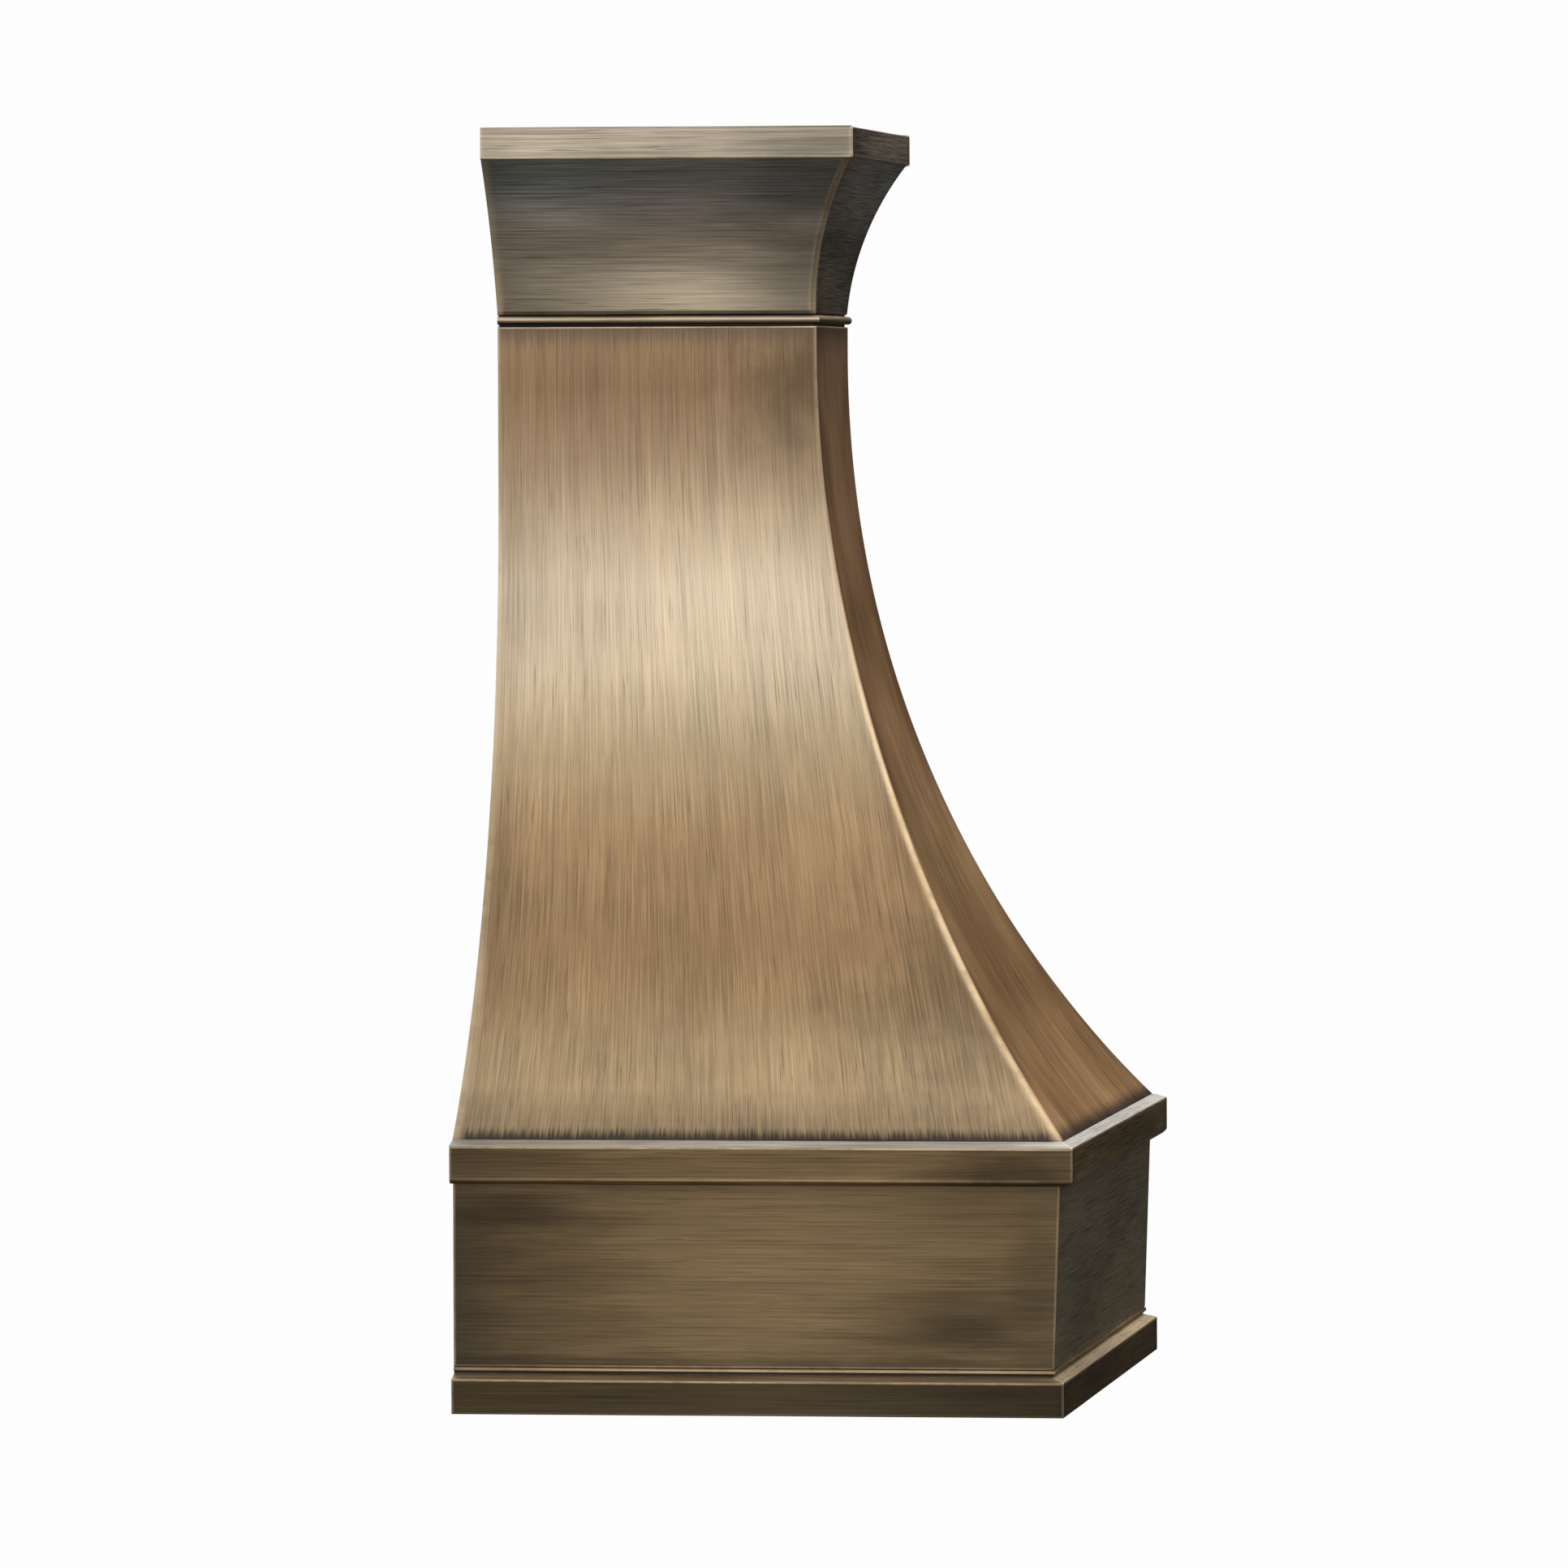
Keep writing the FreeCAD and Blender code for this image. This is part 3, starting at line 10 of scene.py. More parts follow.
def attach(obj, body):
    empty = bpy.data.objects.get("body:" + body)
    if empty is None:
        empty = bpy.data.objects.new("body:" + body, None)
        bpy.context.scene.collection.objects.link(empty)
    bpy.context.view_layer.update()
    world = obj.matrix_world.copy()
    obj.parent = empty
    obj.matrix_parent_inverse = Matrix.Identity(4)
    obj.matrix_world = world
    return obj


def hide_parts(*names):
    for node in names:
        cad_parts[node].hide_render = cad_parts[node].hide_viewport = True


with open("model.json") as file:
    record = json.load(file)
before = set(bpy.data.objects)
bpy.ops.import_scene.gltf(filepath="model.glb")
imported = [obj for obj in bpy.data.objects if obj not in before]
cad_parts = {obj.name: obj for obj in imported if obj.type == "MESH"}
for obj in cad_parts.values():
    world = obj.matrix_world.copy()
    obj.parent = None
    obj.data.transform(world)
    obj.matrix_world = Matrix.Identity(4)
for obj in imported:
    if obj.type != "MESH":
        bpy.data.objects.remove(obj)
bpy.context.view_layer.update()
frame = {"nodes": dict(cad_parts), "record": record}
NODES = frame["nodes"]

# Shell sizes in metres: half widths (x) and depths from the wall (y), levels from the floor of the trim.
NECK = (0.125, 0.3205)
CROWN = (0.233, 0.371)
FOOT = (0.435, 0.598)
LEDGE = (0.457, 0.610)
SKIRT = (0.433, 0.595)
SKIRT_FOOT = (0.433, 0.589)
TRIM = (0.449, 0.600)
CROWN_TOP, FASCIA_FOOT, COVE_FOOT = 1.255, 1.226, 1.073
BODY_TOP, FRONT_BEND, SIDE_BEND, FOOT_LEVEL = 1.060, 1.036, 0.890, 0.267
LEDGE_TOP, LEDGE_BASE, SKIRT_BASE, TRIM_TOP = 0.262, 0.225, 0.045, 0.034
FRONT_COVE, SIDE_COVE = 0.303, 0.497    # radii of the crown's cove
FRAME = (0.4297, 0.5857)
TRIM_RISE = 0.005                       # how far the trim's top slopes up to the frame
GAUGE = 0.0014                          # sheet thickness
CORE = Vector((0, -0.1, 0.6))           # a place well inside the hood

# The neck bead and the base bead: levels of the web's foot and top, and of the rounded face between them.
NECK_WEB, NECK_ROLL = (1.0602, 1.0728), (1.0626, 1.0706)
BASE_WEB, BASE_ROLL = (0.0392, 0.0449), (0.0410, 0.0449)

SEAM_STEPS = 7
FOLD_STEPS = 5
STATION = 0.012                         # spacing of the section's stations
SHORT, SOFT_EDGE = 0.004, 0.0011        # a stretch longer than SHORT gets a station this close to its ends
CALM = 0.03                             # the sheet's waviness dies out this near an edge
WAVE_SCALE, WAVE_SHIFT = 5.5, Vector((3.1, 7.7, 1.3))
FAN = 0.45                              # how far the brushing fans out with the sweep
RUB_AND_HIGHLIGHT_REACH = 1.4                         # the corner is made bright over this many seam radii: rubbed wear with a painted highlight
SHARP = math.radians(40)                # folds over this angle are shaded sharp
NOTHING = 1e-6


def body_seam(z):
    """Radius of the dressed corner seam of the body, wider toward the foot."""
    t = min(1.0, max(0.0, (BODY_TOP - z) / (BODY_TOP - FOOT_LEVEL)))
    return 0.0025 + 0.0080 * t


def crown_seam(z):
    return 0.0070 if z < FASCIA_FOOT - 0.001 else 0.003


def plain_seam(z):
    return 0.0022


# ---------------------------------------------------------------- section paths

def sweep(z, bend, near, far):
    """Offset of the swept sheet at a level: straight down the neck, then an arc out to the foot."""
    if z >= bend:
        return near
    drop, rise = bend - FOOT_LEVEL, far - near
    radius = (drop * drop + rise * rise) / (2 * rise)
    return near + radius - math.sqrt(radius * radius - (bend - z) ** 2)


def cove(z, near, far, radius):
    """Offset of the crown's cove at a level."""
    chord = Vector((far - near, FASCIA_FOOT - COVE_FOOT))
    middle = Vector((near, COVE_FOOT)) + chord / 2
    across = Vector((chord.y, -chord.x)).normalized()
    centre = middle + across * math.sqrt(radius * radius - chord.length_squared / 4)
    return centre.x - math.sqrt(radius * radius - (z - centre.y) ** 2)


def crown_path():
    """Section points as (half width, depth, level, fold radius, how bright the fold is: wear with a painted
    highlight).
    """
    lip = 0.002
    path = [(CROWN[0] - 0.015, CROWN[1] - 0.015, CROWN_TOP, 0, 0),
            (*CROWN, CROWN_TOP, 0.0016, 0.3), (*CROWN, FASCIA_FOOT, 0.0008, 0.8),
            (CROWN[0] - lip, CROWN[1] - lip, FASCIA_FOOT, 0.0006, 0)]
    steps = 36
    for i in range(1, steps + 1):
        z = FASCIA_FOOT + (COVE_FOOT - FASCIA_FOOT) * i / steps
        path.append((cove(z, NECK[0], CROWN[0] - lip, SIDE_COVE),
                     cove(z, NECK[1], CROWN[1] - lip, FRONT_COVE), z, 0, 0))
    path[-1] = (*path[-1][:3], 0.0008, 0.2)
    path.append((NECK[0] - 0.004, NECK[1] - 0.004, COVE_FOOT, 0, 0))
    return path


def body_path():
    path = [(NECK[0] - 0.004, NECK[1] - 0.004, BODY_TOP, 0, 0), (*NECK, BODY_TOP, 0.0009, 1)]
    steps = 72
    for i in range(1, steps + 1):
        z = BODY_TOP - 0.004 + (FOOT_LEVEL - BODY_TOP + 0.004) * i / steps
        path.append((sweep(z, SIDE_BEND, NECK[0], FOOT[0]), sweep(z, FRONT_BEND, NECK[1], FOOT[1]), z, 0, 0))
    path[-1] = (*path[-1][:3], 0.002, 0)
    path.append((FOOT[0] - 0.007, FOOT[1] - 0.007, FOOT_LEVEL, 0, 0))
    return path


def ledge_path():
    hem = 0.004
    return [(FOOT[0] - 0.024, FOOT[1] - 0.024, FOOT_LEVEL, 0, 0), (*FOOT, FOOT_LEVEL, 0.003, 0),
            (*LEDGE, LEDGE_TOP, 0.0016, 1), (*LEDGE, LEDGE_BASE + hem, 0.0018, 0.15),
            (LEDGE[0] - hem, LEDGE[1] - hem, LEDGE_BASE, 0.0014, 0),
            (LEDGE[0] - 0.028, LEDGE[1] - 0.028, LEDGE_BASE, 0, 0)]


def skirt_path():
    return [(SKIRT[0] - 0.008, SKIRT[1] - 0.008, LEDGE_BASE, 0, 0), (*SKIRT, LEDGE_BASE, 0.0016, 0),
            (*SKIRT_FOOT, SKIRT_BASE, 0.0018, 0.25),
            (SKIRT_FOOT[0] - 0.006, SKIRT_FOOT[1] - 0.006, SKIRT_BASE, 0, 0)]


def trim_path():
    return [(*FRAME, TRIM_TOP, 0, 0), (*FRAME, TRIM_TOP + TRIM_RISE, 0.0008, 0), (*TRIM, TRIM_TOP, 0.0014, 1),
            (*TRIM, 0.0, 0.0014, 0.1), (TRIM[0] - 0.012, TRIM[1] - 0.012, 0.0, 0, 0)]


def soften(path, spacing):
    """Round the folds of a path and fill long stretches, giving (point, wear and painted highlight) pairs."""
    points = [Vector(p[:3]) for p in path]
    out = []
    for i, p in enumerate(points):
        bend = path[i][3]
        if bend and 0 < i < len(points) - 1:
            before, after = (points[i - 1] - p), (points[i + 1] - p)
            a = p + before.normalized() * min(bend, before.length * 0.45)
            b = p + after.normalized() * min(bend, after.length * 0.45)
            for k in range(FOLD_STEPS + 1):
                t = k / FOLD_STEPS
                out.append((a.lerp(p, t).lerp(p.lerp(b, t), t), path[i][4]))
        else:
            out.append((p, 0.0))
    filled = [out[0]]
    for (p, wear_and_highlight), (q, next_wear_and_highlight) in zip(out, out[1:]):
        gap = (q - p).length
        count = max(1, round(gap / spacing))
        stops = [k / count for k in range(1, count)]
        if gap > SHORT:
            stops = sorted(stops + [SOFT_EDGE / gap, 1 - SOFT_EDGE / gap])
        for t in stops:
            filled.append((p.lerp(q, t), 0.0))
        filled.append((q, next_wear_and_highlight))
    return filled


# ---------------------------------------------------------------- panel meshes

def spread(start, end, spacing, tight):
    """Stations from start to end, with extra ones close to both ends."""
    length = abs(end - start)
    count = max(2, round(length / spacing))
    stops = {0.0, 1.0, tight / length, 1 - tight / length}
    stops.update(k / count for k in range(1, count))
    return [start + (end - start) * t for t in sorted(stops)]


def front_row(point, seam):
    """One level of the front panel, from mitre to mitre, as (x, y, rim)."""
    half, depth = point.x, point.y
    arc = [(half - seam + seam * math.cos(a), -(depth - seam + seam * math.sin(a)))
           for a in (math.radians(45 + 45 * k / SEAM_STEPS) for k in range(SEAM_STEPS + 1))]
    flat = half - seam
    row = [(-x, y, half - abs(x)) for x, y in arc[:-1]]
    row += [(flat * t, -depth, half - abs(flat * t)) for t in FRONT_STOPS]
    row += [(x, y, half - abs(x)) for x, y in reversed(arc[:-1])]
    return row


def side_row(point, seam, sign):
    """One level of a side panel, from the wall to the mitre."""
    half, depth = point.x, point.y
    arc = [(half - seam + seam * math.cos(a), -(depth - seam + seam * math.sin(a)))
           for a in (math.radians(45 * k / SEAM_STEPS) for k in range(SEAM_STEPS + 1))]
    flat = depth - seam
    row = [(sign * half, -flat * t, min(flat * t, depth - flat * t)) for t in SIDE_STOPS]
    row += [(sign * x, y, depth + y) for x, y in arc[1:]]
    return row


FRONT_STOPS = spread(-1.0, 1.0, 0.055, 0.012)
SIDE_STOPS = spread(0.0, 1.0, 0.055, 0.012)


def panel(name, path, row_of, seam_of, ripple, spacing):
    """A closed sheet panel from a section path; row_of gives the stations across at each level."""
    stations = soften(path, spacing)
    rows = [row_of(point) for point, _ in stations]
    across = len(rows[0])
    outer = [[Vector((x, y, stations[i][0].z)) for x, y, _ in row] for i, row in enumerate(rows)]
    front = abs(outer[0][0].x + outer[0][-1].x) < NOTHING
    normals = [[grid_normal(outer, i, j) for j in range(across)] for i in range(len(rows))]
    i, j = len(rows) // 2, across // 2
    if normals[i][j].dot(outer[i][j] - CORE) < 0:
        normals = [[-n for n in row] for row in normals]
    length = [0.0]
    for (p, _), (q, _) in zip(stations, stations[1:]):
        length.append(length[-1] + (q - p).length)
    verts, rims, heads, worn_and_highlight, runs, gap_shade = [], [], [], [], [], []
    widest = max(p.x if front else p.y for p, _ in stations)
    for layer in (0.0, GAUGE):
        for i, row in enumerate(outer):
            point, wear_and_highlight = stations[i]
            size = point.x if front else point.y
            for j, spot in enumerate(row):
                rim = rows[i][j][2]
                fade = min(1.0, rim / CALM) * min(1.0, min(length[i], length[-1] - length[i]) / CALM)
                wave = noise.noise(spot * WAVE_SCALE + WAVE_SHIFT) * ripple * fade
                verts.append(spot + normals[i][j] * (wave - layer))
                rims.append(rim)
                heads.append(length[i])
                # how bright the fold is: wear with a painted highlight
                worn_and_highlight.append(wear_and_highlight)
                # painted shade on the first and last rows, where the sheet tucks into a gap
                gap_shade.append(1.0 if i in (0, len(outer) - 1) else 0.0)
                run = spot.x if front else spot.y
                runs.append((run * (1 - FAN + FAN * widest / size), length[i]))
    count = len(rows)
    skin = count * across
    faces = []
    for i in range(count - 1):
        for j in range(across - 1):
            a, b, c, d = i * across + j, i * across + j + 1, (i + 1) * across + j + 1, (i + 1) * across + j
            faces.append((a, b, c, d))
            faces.append((a + skin, d + skin, c + skin, b + skin))
    ring = list(range(across))
    ring += [i * across + across - 1 for i in range(1, count)]
    ring += [(count - 1) * across + j for j in range(across - 2, -1, -1)]
    ring += [i * across for i in range(count - 2, 0, -1)]
    for a, b in zip(ring, ring[1:] + ring[:1]):
        faces.append((a, a + skin, b + skin, b))
    fields = {"rim": rims, "head": heads, "worn_and_highlight": worn_and_highlight, "foot": [length[-1] - h for h in heads],
              "seam": [RUB_AND_HIGHLIGHT_REACH * seam_of(v.z) for v in verts], "gap_shade": gap_shade}
    return make_piece(name, verts, faces, runs, fields)


def grid_normal(grid, i, j):
    """Normal of a grid of points at one of them, from its neighbours."""
    up = grid[max(i - 1, 0)][j] - grid[min(i + 1, len(grid) - 1)][j]
    along = grid[i][min(j + 1, len(grid[i]) - 1)] - grid[i][max(j - 1, 0)]
    return up.cross(along).normalized()


def make_piece(name, verts, faces, runs, fields):
    """An object on the hood's body; runs are the brushing coordinates and fields its point attributes."""
    mesh = bpy.data.meshes.new(name)
    mesh.from_pydata([tuple(v) for v in verts], [], faces)
    mesh.update()
    uv = mesh.uv_layers.new(name="brush")
    for loop in mesh.loops:
        uv.data[loop.index].uv = runs[loop.vertex_index]
    for field, values in fields.items():
        mesh.attributes.new(field, "FLOAT", "POINT").data.foreach_set("value", values)
    bm = bmesh.new()
    bm.from_mesh(mesh)
    bmesh.ops.recalc_face_normals(bm, faces=bm.faces)
    bm.to_mesh(mesh)
    bm.free()
    mesh.polygons.foreach_set("use_smooth", [True] * len(mesh.polygons))
    mesh.set_sharp_from_angle(angle=SHARP)
    piece = bpy.data.objects.new(name, mesh)
    bpy.context.scene.collection.objects.link(piece)
    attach(piece, "hood")
    return piece


def layer(stem, path, seam, ripple, front_metal, side_metal, spacing=STATION):
    """Front and side panels of one shell layer, each standing for its CAD node."""
    for part, row_of in (("front", lambda p: front_row(p, seam(p.z))),
                         ("left", lambda p: side_row(p, seam(p.z), -1)),
                         ("right", lambda p: side_row(p, seam(p.z), 1))):
        piece = panel("shell_%s_%s" % (stem, part), path, row_of, seam, ripple, spacing)
        piece.data.materials.append(front_metal if part == "front" else side_metal)
        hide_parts("%s_%s" % (stem, part))


def bead(name, half, depth, section, cad_node, material):
    """A strip with a closed section, bent round the two sides and the front."""
    verts, runs, rims, gap_shade, wear_and_highlight, faces = [], [], [], [], [], []
    middle = (section[0][1] + section[-1][1]) / 2
    plan = [(-1, t) for t in SIDE_STOPS] + [(0, t) for t in FRONT_STOPS]
    plan += [(1, t) for t in reversed(SIDE_STOPS)]
    for side, t in plan:
        for out, z in section:
            w, d = half + out, depth + out
            x, y = (side * w, -d * t) if side else (w * t, -d)
            verts.append(Vector((x, y, z)))
            runs.append((x + y, z + out))
            rims.append(0.1)
            # painted shade on the web set back behind the bead
            gap_shade.append(0.0 if out >= 0 else 1.0)
            # the upper half of the bead gets a painted highlight
            wear_and_highlight.append(0.7 if z > middle else 0.0)
    n = len(section)
    for i in range(len(plan) - 1):
        if (verts[i * n] - verts[(i + 1) * n]).length < NOTHING:
            continue
        for k in range(n):
            a, b = i * n + k, i * n + (k + 1) % n
            faces.append((a, b, b + n, a + n))
    faces.append(tuple(range(n)))
    faces.append(tuple(range(len(verts) - n, len(verts)))[::-1])
    count = len(verts)
    fields = {"rim": rims, "head": [0.05] * count, "worn_and_highlight": wear_and_highlight, "foot": [0.05] * count,
              "seam": [0.003] * count, "gap_shade": gap_shade}
    piece = make_piece(name, verts, faces, runs, fields)
    weld(piece)
    piece.data.materials.append(material)
    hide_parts(cad_node)


def weld(piece):
    """Join the doubled points at the bead's corners."""
    bm = bmesh.new()
    bm.from_mesh(piece.data)
    bmesh.ops.remove_doubles(bm, verts=bm.verts, dist=NOTHING)
    bmesh.ops.recalc_face_normals(bm, faces=bm.faces)
    bm.to_mesh(piece.data)
    bm.free()
    piece.data.set_sharp_from_angle(angle=SHARP)


def half_round(roll, web, reach, back):
    """Section of a bead as (out, level): a rounded face that stands out from a web set back behind it."""
    middle, rise, steps, thick = sum(roll) / 2, (roll[1] - roll[0]) / 2, 12, 0.0015
    face = [(reach * math.cos(a), middle + rise * math.sin(a))
            for a in (math.radians(-90 + 180 * k / steps) for k in range(steps + 1))]
    return ([(-back - thick, web[0]), (-back, web[0]), (-back, roll[0])] + face
            + [(-back, roll[1]), (-back, web[1]), (-back - thick, web[1])])


# ---------------------------------------------------------------- node materials

class Nodes:
    """Short calls for building the node tree of a material or a world."""

    def __init__(self, owner):
        owner.use_nodes = True
        self.owner = owner
        self.tree = owner.node_tree
        self.tree.nodes.clear()

    def add(self, kind, inputs=None, **props):
        node = self.tree.nodes.new(kind)
        for key, setting in props.items():
            setattr(node, key, setting)
        for key, source in (inputs or {}).items():
            if isinstance(source, bpy.types.NodeSocket):
                self.tree.links.new(source, node.inputs[key])
            else:
                node.inputs[key].default_value = source
        return node

    def field(self, name):
        return self.add("ShaderNodeAttribute", attribute_name=name).outputs["Fac"]

    def maths(self, operation, a, b=0.0):
        return self.add("ShaderNodeMath", {0: a, 1: b}, operation=operation).outputs[0]

    def span(self, source, low, high, to_low=0.0, to_high=1.0, smooth=True):
        kind = "SMOOTHSTEP" if smooth else "LINEAR"
        return self.add("ShaderNodeMapRange", {"Value": source, "From Min": low, "From Max": high,
                                               "To Min": to_low, "To Max": to_high},
                        interpolation_type=kind).outputs["Result"]

    def scaled(self, vector, scale, location=(0, 0, 0)):
        return self.add("ShaderNodeMapping",
                        {"Vector": vector, "Scale": scale, "Location": location}).outputs[0]

    def noise(self, vector, scale=1.0, detail=3.0, rough=0.5, distortion=0.0):
        return self.add("ShaderNodeTexNoise", {"Vector": vector, "Scale": scale, "Detail": detail,
                                               "Roughness": rough, "Distortion": distortion}).outputs["Fac"]

    def mix(self, factor, a, b, blend="MIX"):
        node = self.add("ShaderNodeMix", data_type="RGBA", blend_type=blend, clamp_factor=True)
        for index, source in ((0, factor), (6, a), (7, b)):
            if isinstance(source, bpy.types.NodeSocket):
                self.tree.links.new(source, node.inputs[index])
            else:
                node.inputs[index].default_value = source if index == 0 else (*source, 1.0)
        return node.outputs[2]

    def ramp(self, source, stops):
        """Colour ramp with (position, colour) stops."""
        node = self.add("ShaderNodeValToRGB", {0: source})
        elements = node.color_ramp.elements
        for position, _ in stops[1:-1]:
            elements.new(position)
        for element, (position, colour) in zip(elements, sorted(stops)):
            element.position = position
            element.color = (*colour, 1)
        return node.outputs["Color"]

    def grey(self, source):
        return self.add("ShaderNodeCombineColor", {0: source, 1: source, 2: source}).outputs[0]

    def surface(self, shader):
        self.add("ShaderNodeOutputMaterial", {"Surface": shader})
        return self.owner


def material_nodes(name):
    return Nodes(bpy.data.materials.new(name))


# colours of patina, painted shade and painted highlight: seen square on, and the tint that the metal takes
# seen edge-on
# painted shade, laid over the metal toward the wall and the corners
PAINTED_SHADE, PAINTED_SHADE_EDGE = (0.030, 0.026, 0.020), (0.10, 0.09, 0.08)
FRINGED, FRINGED_EDGE = (0.06, 0.052, 0.045), (0.12, 0.11, 0.10)
# rubbed wear with a painted highlight along corners and folds
RUBBED_AND_HIGHLIGHT, RUBBED_AND_HIGHLIGHT_EDGE = (0.78, 0.60, 0.38), (0.90, 0.75, 0.52)
# near white tint for the painted highlight on the tops of the ledge and the trim
HIGHLIGHT_CAP_EDGE = (1.0, 0.97, 0.92)
HAIRLINE = (0.04, 0.030, 0.019)
# painted shade for the gaps and grooves
GAP_SHADE = (0.012, 0.011, 0.010)
RIDGE_LEVEL = 0.85     # where the corner's brightness, rubbed wear with a painted highlight, is as its mid height says


class Brushing:
    """Places, brush strokes and clouds that the patina of one brass finish is made from, and its masks of
    painted shade and highlight.
    """

    def __init__(self, n, upright):
        self.n = n
        self.upright = upright
        self.uv = n.add("ShaderNodeUVMap", uv_map="brush").outputs[0]
        self.place = n.add("ShaderNodeNewGeometry").outputs["Position"]
        split = n.add("ShaderNodeSeparateXYZ", {0: self.place})
        self.height = split.outputs["Z"]
        self.depth = n.maths("MULTIPLY", split.outputs["Y"], -1.0)
        self.streak = self.strokes(760, 9, (0, 0, 0))
        self.band = self.strokes(380, 4.5, (5, 2, 0))
        self.sheen = self.strokes(60, 1.5, (1, 8, 0))
        stretch = (1, 1, 0.9) if upright else (0.3, 0.3, 1.8)
        self.cloud = n.noise(n.scaled(self.place, stretch), 5.5, 3.0, 0.5)
        self.blotch = n.noise(n.scaled(self.place, stretch, (4, 9, 2)), 16.0, 4.0, 0.6, 0.4)

    def strokes(self, across, along, shift, detail=2.0):
        """Noise drawn out along the brushing, from its fineness across and along the strokes."""
        scale = (across, along, 1) if self.upright else (along, across, 1)
        return self.n.noise(self.n.scaled(self.uv, scale, shift), detail=detail, rough=0.6)

    def tone(self, coarse, patches):
        """How light the patina is, about 1, times the soft ovals of patches, which are painted highlight and
        shade as well as patina.
        """
        n = self.n
        fine, broad, drift, mottle = (0.18, 0.10, 0.06, 0.05) if self.upright else (0.22, 0.12, 0.15, 0.09)
        tone = n.span(self.streak, 0.3, 0.7, -fine, fine)
        for source, swing in ((self.band, broad), (self.sheen, coarse), (self.cloud, drift),
                              (self.blotch, mottle)):
            tone = n.maths("ADD", tone, n.span(source, 0.3, 0.7, -swing, swing))
        tone = n.maths("ADD", tone, 1.0)
        for out, up, long, tall, gain in patches:
            a = n.maths("DIVIDE", n.maths("SUBTRACT", self.depth, out), long)
            b = n.maths("DIVIDE", n.maths("SUBTRACT", self.height, up), tall)
            away = n.maths("SQRT", n.maths("ADD", n.maths("MULTIPLY", a, a), n.maths("MULTIPLY", b, b)))
            away = n.maths("ADD", away, n.span(self.blotch, 0.3, 0.7, -0.2, 0.2))
            tone = n.maths("MULTIPLY", tone, n.span(away, 0.0, 1.2, 1.0 + gain, 1.0))
        return tone

    def painted_shade(self, at_wall, at_corner, width):
        """Painted shade toward the wall and the corners."""
        n = self.n
        wander = n.span(self.cloud, 0.3, 0.7, -0.35 * width, 0.35 * width)

        def close_to(distance, strength):
            near = n.span(n.maths("ADD", distance, wander), -0.3 * width, width, 1.0, 0.0)
            return n.maths("MULTIPLY", near, strength)

        return n.maths("MAXIMUM", close_to(self.depth, at_wall), close_to(n.field("rim"), at_corner))

    def hairlines(self):
        """Sparse dark hairlines that follow the brushing."""
        n = self.n
        hair = n.span(self.strokes(560, 15, (9, 4, 0), 1.0), 0.60, 0.70)
        hair = n.maths("MULTIPLY", hair, n.span(self.blotch, 0.35, 0.6, 0.2, 0.75))
        return n.maths("MULTIPLY", hair, 0.5 if self.upright else 0.7)

    def fringe(self, width):
        """Patina left along the head and the foot, with ragged brushed ends."""
        n = self.n
        ragged = n.maths("MULTIPLY", self.strokes(420, 12, (2, 2, 0)), 0.034)
        foot = n.span(n.maths("SUBTRACT", n.field("foot"), ragged), -0.006, width, 1.0, 0.0)
        head = n.span(n.maths("SUBTRACT", n.field("head"), ragged), -0.012, width, 1.0, 0.0)
        dark = n.maths("MAXIMUM", foot, n.maths("MULTIPLY", head, 0.65))
        return n.maths("MULTIPLY", dark, 0.92)

    def rubbed_and_highlight(self, ridge, polish_and_highlight):
        """Edges made bright unevenly: rubbed wear, with a painted highlight along the corners and folds."""
        n = self.n
        rubbed_and_highlight = n.span(n.field("rim"), 0.0005, n.field("seam"), 1.0, 0.0)
        rubbed_and_highlight = n.maths("MULTIPLY", rubbed_and_highlight, n.span(self.height, FOOT_LEVEL, RIDGE_LEVEL, *ridge))
        rubbed_and_highlight = n.maths("MAXIMUM", rubbed_and_highlight, n.maths("MULTIPLY", n.field("worn_and_highlight"), 0.85))
        rubbed_and_highlight = n.maths("MULTIPLY", rubbed_and_highlight, n.span(n.noise(self.place, 60.0, 3.0), 0.25, 0.6, 0.55, 1.0))
        rubbed_and_highlight = n.maths("MULTIPLY", rubbed_and_highlight, n.span(n.noise(self.place, 9.0, 2.0), 0.3, 0.65, 0.55, 1.0))
        return n.maths("MULTIPLY", rubbed_and_highlight, polish_and_highlight)


